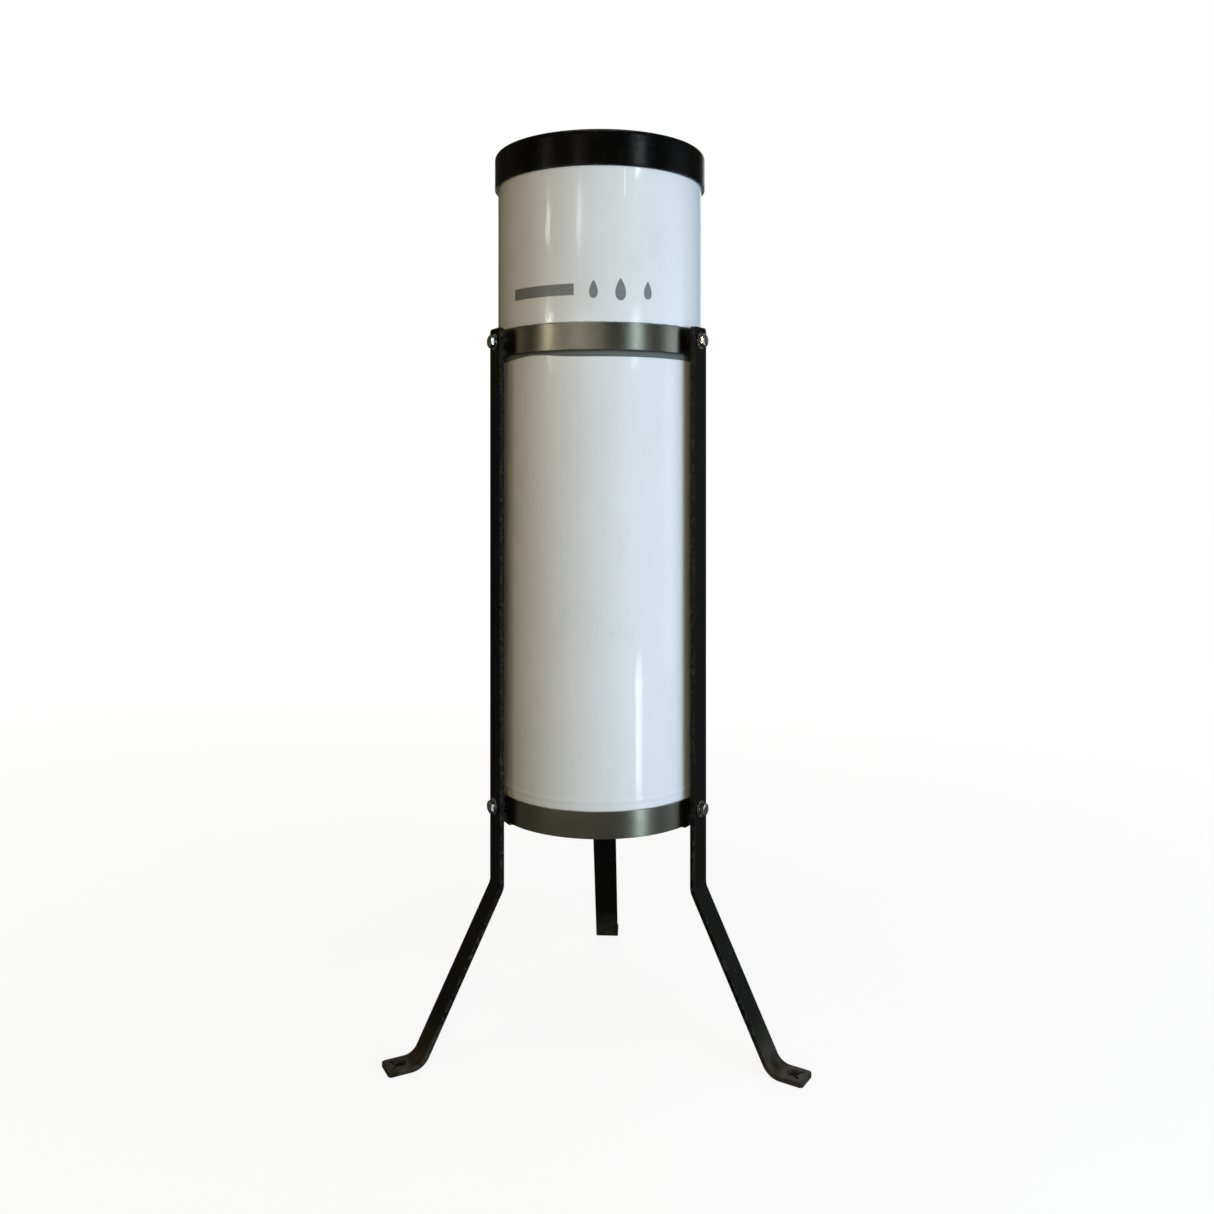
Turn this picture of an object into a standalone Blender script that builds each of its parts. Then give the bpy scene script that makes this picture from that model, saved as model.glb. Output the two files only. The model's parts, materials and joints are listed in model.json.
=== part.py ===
"""Rain and snow gauge: a lift-off receiver on an overflow can, held by two rings on three bent legs.

Metres, +Z up. The origin is the middle of the overflow can's flat underside, on the gauge's axis.
The rear leg stands towards +Y, and the front of the gauge faces -Y.
"""

import math

import bmesh
import bpy
from mathutils import Matrix

INCH = 0.0254
GAP = 0.0003

# Orifice and overflow can: the rim's bore and the can's outside are both eight inches.
ORIFICE_RADIUS = 4.0 * INCH
CAN_RADIUS = 4.0 * INCH
CAN_HEIGHT = 24.0 * INCH
CAN_WALL = 0.001
CAN_LIP_DEPTH = 0.0027
CAN_LIP_RADIUS = 0.0012
BEAD_HEIGHT = 0.0335
BEAD_HALF_LENGTH = 0.0035
BEAD_RISE = 0.0004
PAN_WALL = 0.001
PAN_FLANGE_HEIGHT = 0.010
PAN_CORNER_RADIUS = 0.002

# Receiver: shell, rim and funnel lift off together.
SHELL_INNER_RADIUS = CAN_RADIUS + 0.0004
SHELL_WALL = 0.00125
SHELL_BOTTOM = 0.4799
RIM_RADIUS = 0.1065
RIM_BOTTOM = 0.6246
RIM_TOP = 0.6588
RIM_LEDGE = 0.0125
RIM_ROUND = 0.0045
RIM_EDGE_WIDTH = 0.0004
RIM_CHAMFER = 0.0006
FUNNEL_WALL = 0.001
FUNNEL_FLANGE_WIDTH = 0.0032
FUNNEL_SLOPE = math.radians(48.0)
SPOUT_RADIUS = 0.009
SPOUT_WALL = 0.001
SPOUT_LENGTH = 0.031
NECK_LENGTH = 0.012

# Measuring tube: its bore has a tenth of the orifice's area.
TUBE_INNER_RADIUS = ORIFICE_RADIUS / math.sqrt(10.0)
TUBE_WALL = 0.0032
TUBE_DEPTH = 20.0 * INCH
TUBE_EDGE = 0.0006
BASE_THICKNESS = 0.004
BASE_PLUG_HEIGHT = 0.0022
LOCATOR_CLEARANCE = 0.0007
LOCATOR_WALL = 0.0012
LOCATOR_HEIGHT = 0.0127
LOCATOR_FLANGE = 0.010

# Stand: rings and legs.
FLOOR = -0.2161
RING_HEIGHT = 1.0 * INCH
RING_WALL = 0.0012
RING_RADIUS = 0.1043
LOWER_RING_BOTTOM = 0.0
UPPER_RING_BOTTOM = 0.4540
LINER_WALL = 0.0005
LINER_BELOW_RING = 0.0062
LINER_INSET = 0.0008
LEG_WIDTH = 1.0 * INCH
LEG_THICKNESS = 3.0 / 16.0 * INCH
LEG_INNER_RADIUS = 0.1103
LEG_TOP = 0.4800
LEG_BEND_HEIGHT = -0.0610
LEG_BEND_FILLET = 0.016
HEEL_RADIUS = 0.1925
HEEL_FILLET = 0.0165
TOE_RADIUS = 0.2245
LEG_CORNER = 0.0035
LEG_CHAMFER = 0.0005
FOOT_HOLE_RADIUS = 0.0044
FOOT_HOLE_PLACE = 0.2105
REST_WIDTH = 0.020
REST_THICKNESS = 0.002
REST_INNER_RADIUS = 0.0985
REST_OUTER_RADIUS = 0.1040
REST_CORNER = 0.0015

# Quarter-inch hardware.
BOLT_RADIUS = 0.125 * INCH
BOLT_CHAMFER = 0.0006
BOLT_HOLE_RADIUS = 0.0036
HEX_ACROSS_FLATS = 7.0 / 16.0 * INCH
HEX_CHAMFER = 0.0007
HEAD_HEIGHT = 0.0034
LOWER_BOLT_RAISE = 0.003
NUT_HEIGHT = LEG_INNER_RADIUS - RING_RADIUS - 2.0 * GAP
BORE_RADIUS = BOLT_RADIUS + GAP
WASHER_RADIUS = 0.0079
WASHER_THICKNESS = 0.0011
LOCK_WASHER_RADIUS = 0.0062
LOCK_WASHER_OPENING = math.radians(14.0)
LOCK_WASHER_RISE = 0.0003

LARGE_SEGMENTS = 48
TUBE_SEGMENTS = 32
SMALL_SEGMENTS = 16
HEX_SEGMENTS = 12
ARC_STEPS = 4
SHARP_ANGLE = math.radians(32.0)

FRONT_SPREAD = math.radians(60.0)
LEG_AZIMUTHS = {
    "rear": math.pi / 2.0,
    "left": -math.pi / 2.0 - FRONT_SPREAD,
    "right": -math.pi / 2.0 + FRONT_SPREAD,
}
BOLT_HEIGHTS = {
    "upper": UPPER_RING_BOTTOM + RING_HEIGHT / 2.0,
    "lower": LOWER_RING_BOTTOM + RING_HEIGHT / 2.0 + LOWER_BOLT_RAISE,
}

FINISHES = {
    "black_coat": ((0.012, 0.012, 0.011), 0.42, 0.0, 1.0),
    "rim_black": ((0.010, 0.010, 0.012), 0.30, 0.2, 1.0),
    "white_enamel": ((0.80, 0.80, 0.77), 0.25, 0.0, 1.0),
    "ring_steel": ((0.36, 0.35, 0.31), 0.32, 1.0, 1.0),
    "liner_grey": ((0.13, 0.13, 0.125), 0.75, 0.0, 1.0),
    "zinc": ((0.66, 0.67, 0.68), 0.28, 1.0, 1.0),
    "clear_tube": ((0.82, 0.88, 0.90), 0.08, 0.0, 0.35),
    "base_plastic": ((0.74, 0.75, 0.74), 0.45, 0.0, 1.0),
}


def clear_scene():
    """Remove whatever the file opened with."""
    for thing in list(bpy.data.objects):
        bpy.data.objects.remove(thing, do_unlink=True)


def make_materials():
    """One Principled BSDF for each finish."""
    made = {}
    for name, (color, roughness, metallic, alpha) in FINISHES.items():
        material = bpy.data.materials.new(name)
        material.use_nodes = True
        surface = material.node_tree.nodes["Principled BSDF"]
        surface.inputs["Base Color"].default_value = (*color, 1.0)
        surface.inputs["Roughness"].default_value = roughness
        surface.inputs["Metallic"].default_value = metallic
        surface.inputs["Alpha"].default_value = alpha
        made[name] = material
    return made


def make_group(name):
    """An empty on the gauge's axis, the parent of the pieces that move together."""
    group = bpy.data.objects.new(name, None)
    bpy.context.collection.objects.link(group)
    return group


def mesh_from(name, shape, material):
    """Turn a bmesh into mesh data with outward faces, smooth shading and one material."""
    bmesh.ops.recalc_face_normals(shape, faces=shape.faces)
    mesh = bpy.data.meshes.new(name)
    shape.to_mesh(mesh)
    shape.free()
    mesh.shade_smooth()
    mesh.set_sharp_from_angle(angle=SHARP_ANGLE)
    mesh.materials.append(material)
    return mesh


def place(name, mesh, group, location=(0.0, 0.0, 0.0), azimuth=0.0):
    """Put mesh data into the scene as one named piece of a group."""
    piece = bpy.data.objects.new(name, mesh)
    piece.location = location
    piece.rotation_euler = (0.0, 0.0, azimuth)
    piece.parent = group
    bpy.context.collection.objects.link(piece)
    return piece


def revolve(profile, segments):
    """Spin an outline of (radius, height) points about Z. An outline whose ends are on the axis stays open."""
    shape = bmesh.new()
    points = [shape.verts.new((radius, 0.0, height)) for radius, height in profile]
    for first, second in zip(points, points[1:]):
        shape.edges.new((first, second))
    if profile[0][0] > 0.0:
        shape.edges.new((points[-1], points[0]))
    outline = shape.verts[:] + shape.edges[:]
    bmesh.ops.spin(
        shape, geom=outline, cent=(0.0, 0.0, 0.0), axis=(0.0, 0.0, 1.0),
        angle=2.0 * math.pi, steps=segments, use_merge=True,
    )
    bmesh.ops.remove_doubles(shape, verts=shape.verts, dist=1e-6)
    return shape


def loft(loops, closed=False):
    """Join a row of equal loops with quads. An open row gets end caps, a closed one meets itself."""
    shape = bmesh.new()
    rows = [[shape.verts.new(point) for point in loop] for loop in loops]
    pairs = list(zip(rows, rows[1:]))
    if closed:
        pairs.append((rows[-1], rows[0]))
    else:
        shape.faces.new(rows[0])
        shape.faces.new(rows[-1])
    count = len(rows[0])
    for near, far in pairs:
        for step in range(count):
            after = (step + 1) % count
            shape.faces.new((near[step], near[after], far[after], far[step]))
    return shape


def arc(centre, radius, start, end, steps=ARC_STEPS):
    """Points of (radius, height) along an arc, both ends included."""
    points = []
    for step in range(steps + 1):
        angle = start + (end - start) * step / steps
        points.append((centre[0] + radius * math.cos(angle), centre[1] + radius * math.sin(angle)))
    return points


# ---------------------------------------------------------------- receiver


def rim_profile():
    """Collar with a knife edge at the bore, a rounded outer top edge and a ledge that caps the shell."""
    knife = ORIFICE_RADIUS + RIM_EDGE_WIDTH
    ledge_height = RIM_TOP - RIM_LEDGE
    socket = SHELL_INNER_RADIUS + SHELL_WALL + GAP
    crown = arc((knife, RIM_TOP - RIM_ROUND), RIM_ROUND, 0.0, math.pi / 2.0)
    return [
        (socket, RIM_BOTTOM),
        (RIM_RADIUS - RIM_CHAMFER, RIM_BOTTOM),
        (RIM_RADIUS, RIM_BOTTOM + RIM_CHAMFER),
        (RIM_RADIUS, RIM_TOP - RIM_ROUND),
        *crown[1:],
        (ORIFICE_RADIUS, RIM_TOP - RIM_EDGE_WIDTH),
        (ORIFICE_RADIUS, ledge_height),
        (socket, ledge_height),
    ]


def shell_profile():
    """Plain cylinder from just above the upper ring to the rim's ledge."""
    outer = SHELL_INNER_RADIUS + SHELL_WALL
    top = RIM_TOP - RIM_LEDGE - GAP
    return [(SHELL_INNER_RADIUS, SHELL_BOTTOM), (outer, SHELL_BOTTOM), (outer, top), (SHELL_INNER_RADIUS, top)]


def funnel_heights():
    """Heights of the funnel's flange top and of the end of its cone."""
    flange_top = CAN_HEIGHT + GAP + FUNNEL_WALL
    edge = SHELL_INNER_RADIUS - GAP - FUNNEL_FLANGE_WIDTH
    drop = (edge - SPOUT_RADIUS - GAP) * math.tan(FUNNEL_SLOPE)
    return flange_top, flange_top - drop


def funnel_profile():
    """Flange on the can's lip, a straight cone, and a neck round the spout."""
    flange_top, cone_end = funnel_heights()
    outer = SHELL_INNER_RADIUS - GAP
    edge = outer - FUNNEL_FLANGE_WIDTH
    neck = SPOUT_RADIUS + GAP
    inset = FUNNEL_WALL * math.tan(FUNNEL_SLOPE / 2.0)
    return [
        (outer, flange_top - FUNNEL_WALL),
        (outer, flange_top),
        (edge, flange_top),
        (neck, cone_end),
        (neck, cone_end - NECK_LENGTH),
        (neck + FUNNEL_WALL, cone_end - NECK_LENGTH),
        (neck + FUNNEL_WALL, cone_end - inset),
        (edge + inset, flange_top - FUNNEL_WALL),
    ]


def spout_profile():
    """Straight tube inside the funnel's neck."""
    top = funnel_heights()[1] - GAP
    bottom = top - SPOUT_LENGTH
    bore = SPOUT_RADIUS - SPOUT_WALL
    return [(bore, bottom), (SPOUT_RADIUS, bottom), (SPOUT_RADIUS, top), (bore, top)]


def build_receiver(materials):
    """Rim, shell, funnel and spout: they lift off the can as one."""
    group = make_group("receiver_group")
    enamel = materials["white_enamel"]
    rim = revolve(rim_profile(), LARGE_SEGMENTS)
    place("rim_ring", mesh_from("rim_ring", rim, materials["rim_black"]), group)
    shell = revolve(shell_profile(), LARGE_SEGMENTS)
    place("receiver_shell", mesh_from("receiver_shell", shell, enamel), group)
    funnel = revolve(funnel_profile(), LARGE_SEGMENTS)
    place("funnel_cone", mesh_from("funnel_cone", funnel, enamel), group)
    spout = revolve(spout_profile(), SMALL_SEGMENTS)
    place("funnel_spout", mesh_from("funnel_spout", spout, enamel), group)


# ---------------------------------------------------------------- overflow can


def bead_wave(radius, rising):
    """Points of the stiffening bead on a wall of the given radius, bottom to top or the reverse."""
    low = BEAD_HEIGHT - BEAD_HALF_LENGTH
    points = []
    for step in range(ARC_STEPS + 1):
        share = step / ARC_STEPS
        swell = BEAD_RISE * math.sin(math.pi * share)
        points.append((radius + swell, low + 2.0 * BEAD_HALF_LENGTH * share))
    return points if rising else points[::-1]


def can_profile():
    """Straight wall with a bead near the foot and a lip rolled inwards at the top."""
    inner = CAN_RADIUS - CAN_WALL
    lip = CAN_RADIUS - CAN_LIP_DEPTH
    crown = arc((CAN_RADIUS - CAN_LIP_RADIUS, CAN_HEIGHT - CAN_LIP_RADIUS), CAN_LIP_RADIUS, 0.0, math.pi / 2.0, 3)
    curl = arc((lip + CAN_LIP_RADIUS, CAN_HEIGHT - CAN_LIP_RADIUS), CAN_LIP_RADIUS, math.pi / 2.0, math.pi, 3)
    return [
        (inner, 0.0),
        (CAN_RADIUS, 0.0),
        *bead_wave(CAN_RADIUS, True),
        *crown,
        *curl,
        (lip, CAN_HEIGHT - CAN_LIP_DEPTH),
        (inner, CAN_HEIGHT - CAN_LIP_DEPTH),
        *bead_wave(inner, False),
    ]


def pan_profile():
    """Pressed pan with an upturned flange inside the can's wall."""
    outer = CAN_RADIUS - CAN_WALL - GAP
    inner = outer - PAN_WALL
    inner_corner = PAN_CORNER_RADIUS - PAN_WALL
    centre = (outer - PAN_CORNER_RADIUS, PAN_CORNER_RADIUS)
    underside = arc(centre, PAN_CORNER_RADIUS, -math.pi / 2.0, 0.0, 3)
    topside = arc(centre, inner_corner, 0.0, -math.pi / 2.0, 3)
    return [
        (0.0, 0.0),
        *underside,
        (outer, PAN_FLANGE_HEIGHT),
        (inner, PAN_FLANGE_HEIGHT),
        *topside,
        (0.0, PAN_WALL),
    ]


def locator_profile():
    """Flanged collar that holds the foot of the measuring tube in the middle of the pan."""
    bore = TUBE_INNER_RADIUS + TUBE_WALL + LOCATOR_CLEARANCE
    foot = PAN_WALL + GAP
    return [
        (bore, foot),
        (bore + LOCATOR_FLANGE, foot),
        (bore + LOCATOR_FLANGE, foot + LOCATOR_WALL),
        (bore + LOCATOR_WALL, foot + LOCATOR_WALL),
        (bore + LOCATOR_WALL, foot + LOCATOR_HEIGHT),
        (bore, foot + LOCATOR_HEIGHT),
    ]


def build_can(materials):
    """Can wall, bottom pan and tube locator: they lift out of the stand as one."""
    group = make_group("can_group")
    enamel = materials["white_enamel"]
    wall = revolve(can_profile(), LARGE_SEGMENTS)
    place("can_shell", mesh_from("can_shell", wall, enamel), group)
    pan = revolve(pan_profile(), LARGE_SEGMENTS)
    place("can_bottom", mesh_from("can_bottom", pan, enamel), group)
    locator = revolve(locator_profile(), TUBE_SEGMENTS)
    place("tube_locator", mesh_from("tube_locator", locator, enamel), group)


# ---------------------------------------------------------------- measuring tube


def base_profile():
    """Stepped plug: the tube stands on its shoulder and fits round its boss."""
    foot = PAN_WALL + 2.0 * GAP
    shoulder = foot + BASE_THICKNESS
    outer = TUBE_INNER_RADIUS + TUBE_WALL
    boss = TUBE_INNER_RADIUS - GAP
    return [
        (0.0, foot),
        (outer, foot),
        (outer, shoulder),
        (boss, shoulder),
        (boss, shoulder + GAP + BASE_PLUG_HEIGHT),
        (0.0, shoulder + GAP + BASE_PLUG_HEIGHT),
    ]


def tube_profile():
    """Straight clear tube, its mouth eased inside and outside."""
    foot = PAN_WALL + 3.0 * GAP + BASE_THICKNESS
    top = foot + BASE_PLUG_HEIGHT + TUBE_DEPTH
    inner = TUBE_INNER_RADIUS
    outer = inner + TUBE_WALL
    return [
        (inner, foot),
        (outer, foot),
        (outer, top - TUBE_EDGE),
        (outer - TUBE_EDGE, top),
        (inner + TUBE_EDGE, top),
        (inner, top - TUBE_EDGE),
    ]


def build_measuring_tube(materials):
    """Clear tube and its base: they lift out of the can as one."""
    group = make_group("tube_group")
    base = revolve(base_profile(), TUBE_SEGMENTS)
    place("tube_base", mesh_from("tube_base", base, materials["base_plastic"]), group)
    tube = revolve(tube_profile(), TUBE_SEGMENTS)
    place("measuring_tube", mesh_from("measuring_tube", tube, materials["clear_tube"]), group)


# ---------------------------------------------------------------- stand


def ring_profile(bottom):
    """Flat band round the can, with room for the can to slide."""
    inner = RING_RADIUS - RING_WALL
    top = bottom + RING_HEIGHT
    return [(inner, bottom), (RING_RADIUS, bottom), (RING_RADIUS, top), (inner, top)]


def liner_profile():
    """Thin strip inside the upper ring that stands out below it."""
    outer = RING_RADIUS - RING_WALL - GAP
    inner = outer - LINER_WALL
    low = UPPER_RING_BOTTOM - LINER_BELOW_RING
    high = UPPER_RING_BOTTOM + RING_HEIGHT - LINER_INSET
    return [(inner, low), (outer, low), (outer, high), (inner, high)]


def fillet(before, corner, after, radius):
    """Points of the arc that rounds a corner between two straight runs, with the direction at each point."""
    into = math.atan2(corner[1] - before[1], corner[0] - before[0])
    out = math.atan2(after[1] - corner[1], after[0] - corner[0])
    turn = out - into
    setback = radius * math.tan(abs(turn) / 2.0)
    side = math.copysign(1.0, turn)
    start = (corner[0] - setback * math.cos(into), corner[1] - setback * math.sin(into))
    centre = (start[0] - side * radius * math.sin(into), start[1] + side * radius * math.cos(into))
    stations = []
    for step in range(2 * ARC_STEPS + 1):
        heading = into + turn * step / (2 * ARC_STEPS)
        reach = (centre[0] + side * radius * math.sin(heading), centre[1] - side * radius * math.cos(heading))
        stations.append((reach, heading))
    return stations


def rounded_end(width, corner):
    """Distances from a bar's end, each with the half width that gives the end rounded corners."""
    steps = []
    for step in range(ARC_STEPS + 1):
        angle = math.pi / 2.0 * step / ARC_STEPS
        steps.append((corner * (1.0 - math.cos(angle)), width / 2.0 - corner + corner * math.sin(angle)))
    return steps


def bar_section(place_at, heading, half_width, thickness, chamfer):
    """Eight-cornered section of a flat bar at one station of its path in the radius and height plane."""
    half = thickness / 2.0
    corners = [
        (-half_width, half - chamfer), (-half_width + chamfer, half),
        (half_width - chamfer, half), (half_width, half - chamfer),
        (half_width, chamfer - half), (half_width - chamfer, -half),
        (-half_width + chamfer, -half), (-half_width, chamfer - half),
    ]
    normal = (-math.sin(heading), math.cos(heading))
    return [(place_at[0] + normal[0] * up, across, place_at[1] + normal[1] * up) for across, up in corners]


def moved(point, heading, distance):
    """A point moved along a heading."""
    return (point[0] + distance * math.cos(heading), point[1] + distance * math.sin(heading))


def leg_stations():
    """Path of the leg's mid-thickness from its top to its toe, with the half width at each station."""
    half = LEG_THICKNESS / 2.0
    top = (LEG_INNER_RADIUS + half, LEG_TOP)
    bend = (LEG_INNER_RADIUS + half, LEG_BEND_HEIGHT)
    heel = (HEEL_RADIUS, FLOOR + half)
    toe = (TOE_RADIUS, FLOOR + half)
    down = -math.pi / 2.0
    stations = [(moved(top, down, gone), down, wide) for gone, wide in rounded_end(LEG_WIDTH, LEG_CORNER)]
    bends = fillet(top, bend, heel, LEG_BEND_FILLET) + fillet(bend, heel, toe, HEEL_FILLET)
    stations += [(point, heading, LEG_WIDTH / 2.0) for point, heading in bends]
    tail = rounded_end(LEG_WIDTH, LEG_CORNER)[::-1]
    stations += [(moved(toe, 0.0, -left), 0.0, wide) for left, wide in tail]
    return stations


def leg_mesh(material):
    """One bent flat bar, in the plane of +X and Z."""
    loops = [
        bar_section(point, heading, wide, LEG_THICKNESS, LEG_CHAMFER)
        for point, heading, wide in leg_stations()
    ]
    return mesh_from("leg", loft(loops), material)


def cylinder_along(shape, radius, length, centre, sideways):
    """Add a cylinder to a bmesh, along X or along Z."""
    turn = Matrix.Rotation(math.pi / 2.0, 4, "Y") if sideways else Matrix.Identity(4)
    bmesh.ops.create_cone(
        shape, cap_ends=True, segments=SMALL_SEGMENTS, radius1=radius, radius2=radius,
        depth=length, matrix=Matrix.Translation(centre) @ turn,
    )


def hole_mesh():
    """Cutter for a leg's two bolt holes and its foot hole."""
    shape = bmesh.new()
    length = 4.0 * LEG_THICKNESS
    mid_radius = LEG_INNER_RADIUS + LEG_THICKNESS / 2.0
    for height in BOLT_HEIGHTS.values():
        cylinder_along(shape, BOLT_HOLE_RADIUS, length, (mid_radius, 0.0, height), True)
    cylinder_along(shape, FOOT_HOLE_RADIUS, length, (FOOT_HOLE_PLACE, 0.0, FLOOR + LEG_THICKNESS / 2.0), False)
    mesh = bpy.data.meshes.new("leg_holes")
    shape.to_mesh(mesh)
    shape.free()
    return mesh


def build_legs(group, materials):
    """Three equal legs, each with its holes cut."""
    bar = leg_mesh(materials["black_coat"])
    holes = hole_mesh()
    for side, azimuth in LEG_AZIMUTHS.items():
        leg = place(f"leg_{side}", bar, group, azimuth=azimuth)
        cutter = place(f"leg_{side}_holes", holes, group, azimuth=azimuth)
        cutter.hide_render = True
        cutter.display_type = "WIRE"
        cut = leg.modifiers.new("holes", "BOOLEAN")
        cut.operation = "DIFFERENCE"
        cut.object = cutter


def rest_mesh(material):
    """Short flat lug with rounded inner corners, under the can's wall."""
    height = LOWER_RING_BOTTOM - GAP - REST_THICKNESS / 2.0
    stations = [
        ((REST_INNER_RADIUS + gone, height), 0.0, wide) for gone, wide in rounded_end(REST_WIDTH, REST_CORNER)
    ]
    stations.append(((REST_OUTER_RADIUS, height), 0.0, REST_WIDTH / 2.0))
    loops = [
        bar_section(point, heading, wide, REST_THICKNESS, LEG_CHAMFER) for point, heading, wide in stations
    ]
    return mesh_from("can_rest", loft(loops), material)


# ---------------------------------------------------------------- hardware, along +X from its inner end


def circle_loop(radius, reach, count=HEX_SEGMENTS):
    """Round loop at a distance along +X."""
    turns = [2.0 * math.pi * step / count for step in range(count)]
    return [(reach, radius * math.cos(turn), radius * math.sin(turn)) for turn in turns]


def hex_loop(across_flats, reach, count=HEX_SEGMENTS):
    """Hexagonal loop at a distance along +X, with a corner at every other point."""
    loop = []
    for step in range(count):
        turn = 2.0 * math.pi * step / count
        from_flat = (turn + math.pi / 6.0) % (math.pi / 3.0) - math.pi / 6.0
        radius = across_flats / 2.0 / math.cos(from_flat)
        loop.append((reach, radius * math.cos(turn), radius * math.sin(turn)))
    return loop


def bolt_mesh(material):
    """Hex-head bolt from its tip in the weld nut to its chamfered head. X = 0 is the gauge's axis."""
    tip = RING_RADIUS + GAP
    head = LEG_INNER_RADIUS + LEG_THICKNESS + 2.0 * WASHER_THICKNESS + 3.0 * GAP
    crown = head + HEAD_HEIGHT
    loops = [
        circle_loop(BOLT_RADIUS - BOLT_CHAMFER, tip),
        circle_loop(BOLT_RADIUS, tip + BOLT_CHAMFER),
        circle_loop(BOLT_RADIUS, head),
        hex_loop(HEX_ACROSS_FLATS, head),
        hex_loop(HEX_ACROSS_FLATS, crown - HEX_CHAMFER),
        circle_loop(HEX_ACROSS_FLATS / 2.0 - HEX_CHAMFER / 2.0, crown),
    ]
    return mesh_from("bolt", loft(loops), material)


def nut_mesh(material):
    """Hex nut, welded to a ring, that holds a leg off it."""
    inner = RING_RADIUS + GAP
    outer = inner + NUT_HEIGHT
    loops = [
        circle_loop(BORE_RADIUS, inner),
        hex_loop(HEX_ACROSS_FLATS, inner),
        hex_loop(HEX_ACROSS_FLATS, outer - HEX_CHAMFER),
        circle_loop(HEX_ACROSS_FLATS / 2.0 - HEX_CHAMFER / 2.0, outer),
        circle_loop(BORE_RADIUS, outer),
    ]
    return mesh_from("weld_nut", loft(loops, closed=True), material)


def washer_mesh(material):
    """Flat washer against the leg's outer face."""
    inner = LEG_INNER_RADIUS + LEG_THICKNESS + GAP
    outer = inner + WASHER_THICKNESS
    loops = [
        circle_loop(BORE_RADIUS, inner, SMALL_SEGMENTS),
        circle_loop(WASHER_RADIUS, inner, SMALL_SEGMENTS),
        circle_loop(WASHER_RADIUS, outer, SMALL_SEGMENTS),
        circle_loop(BORE_RADIUS, outer, SMALL_SEGMENTS),
    ]
    return mesh_from("washer", loft(loops, closed=True), material)


def lock_washer_mesh(material):
    """Split spring washer: a flat wire wound into one slightly rising turn, with a gap between its ends."""
    foot = LEG_INNER_RADIUS + LEG_THICKNESS + 2.0 * GAP + WASHER_THICKNESS
    thickness = WASHER_THICKNESS - LOCK_WASHER_RISE
    sweep = 2.0 * math.pi - LOCK_WASHER_OPENING
    loops = []
    for step in range(SMALL_SEGMENTS + 1):
        share = step / SMALL_SEGMENTS
        turn = math.pi / 2.0 + LOCK_WASHER_OPENING / 2.0 + sweep * share
        low = foot + LOCK_WASHER_RISE * share
        corners = [
            (BORE_RADIUS, low), (LOCK_WASHER_RADIUS, low),
            (LOCK_WASHER_RADIUS, low + thickness), (BORE_RADIUS, low + thickness),
        ]
        loops.append([(reach, radius * math.cos(turn), radius * math.sin(turn)) for radius, reach in corners])
    return mesh_from("lock_washer", loft(loops), material)


def build_hardware(group, materials):
    """A bolt, two washers and a weld nut at each crossing of a leg and a ring."""
    zinc = materials["zinc"]
    kinds = {
        "bolt": bolt_mesh(zinc),
        "washer": washer_mesh(zinc),
        "lock_washer": lock_washer_mesh(zinc),
        "weld_nut": nut_mesh(materials["black_coat"]),
    }
    for level, height in BOLT_HEIGHTS.items():
        for side, azimuth in LEG_AZIMUTHS.items():
            for kind, mesh in kinds.items():
                place(f"{kind}_{level}_{side}", mesh, group, (0.0, 0.0, height), azimuth)


def build_stand(materials):
    """Rings, liner, legs, can rests and hardware: the part that stays on the ground."""
    group = make_group("stand_group")
    steel = materials["ring_steel"]
    lower = revolve(ring_profile(LOWER_RING_BOTTOM), LARGE_SEGMENTS)
    place("lower_ring", mesh_from("lower_ring", lower, steel), group)
    upper = revolve(ring_profile(UPPER_RING_BOTTOM), LARGE_SEGMENTS)
    place("upper_ring", mesh_from("upper_ring", upper, steel), group)
    liner = revolve(liner_profile(), LARGE_SEGMENTS)
    place("ring_liner", mesh_from("ring_liner", liner, materials["liner_grey"]), group)
    rest = rest_mesh(steel)
    for side, azimuth in LEG_AZIMUTHS.items():
        place(f"can_rest_{side}", rest, group, azimuth=azimuth)
    build_legs(group, materials)
    build_hardware(group, materials)


def main():
    """Build the whole gauge."""
    clear_scene()
    materials = make_materials()
    build_receiver(materials)
    build_can(materials)
    build_measuring_tube(materials)
    build_stand(materials)


main()
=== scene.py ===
"""Looks of the rain and snow gauge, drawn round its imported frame.

Metres, +Z up. The gauge's axis is Z, its front faces -Y and its rear leg stands towards +Y.
"""

import json
import math

import bmesh
import bpy
from mathutils import Matrix, Vector, geometry


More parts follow.
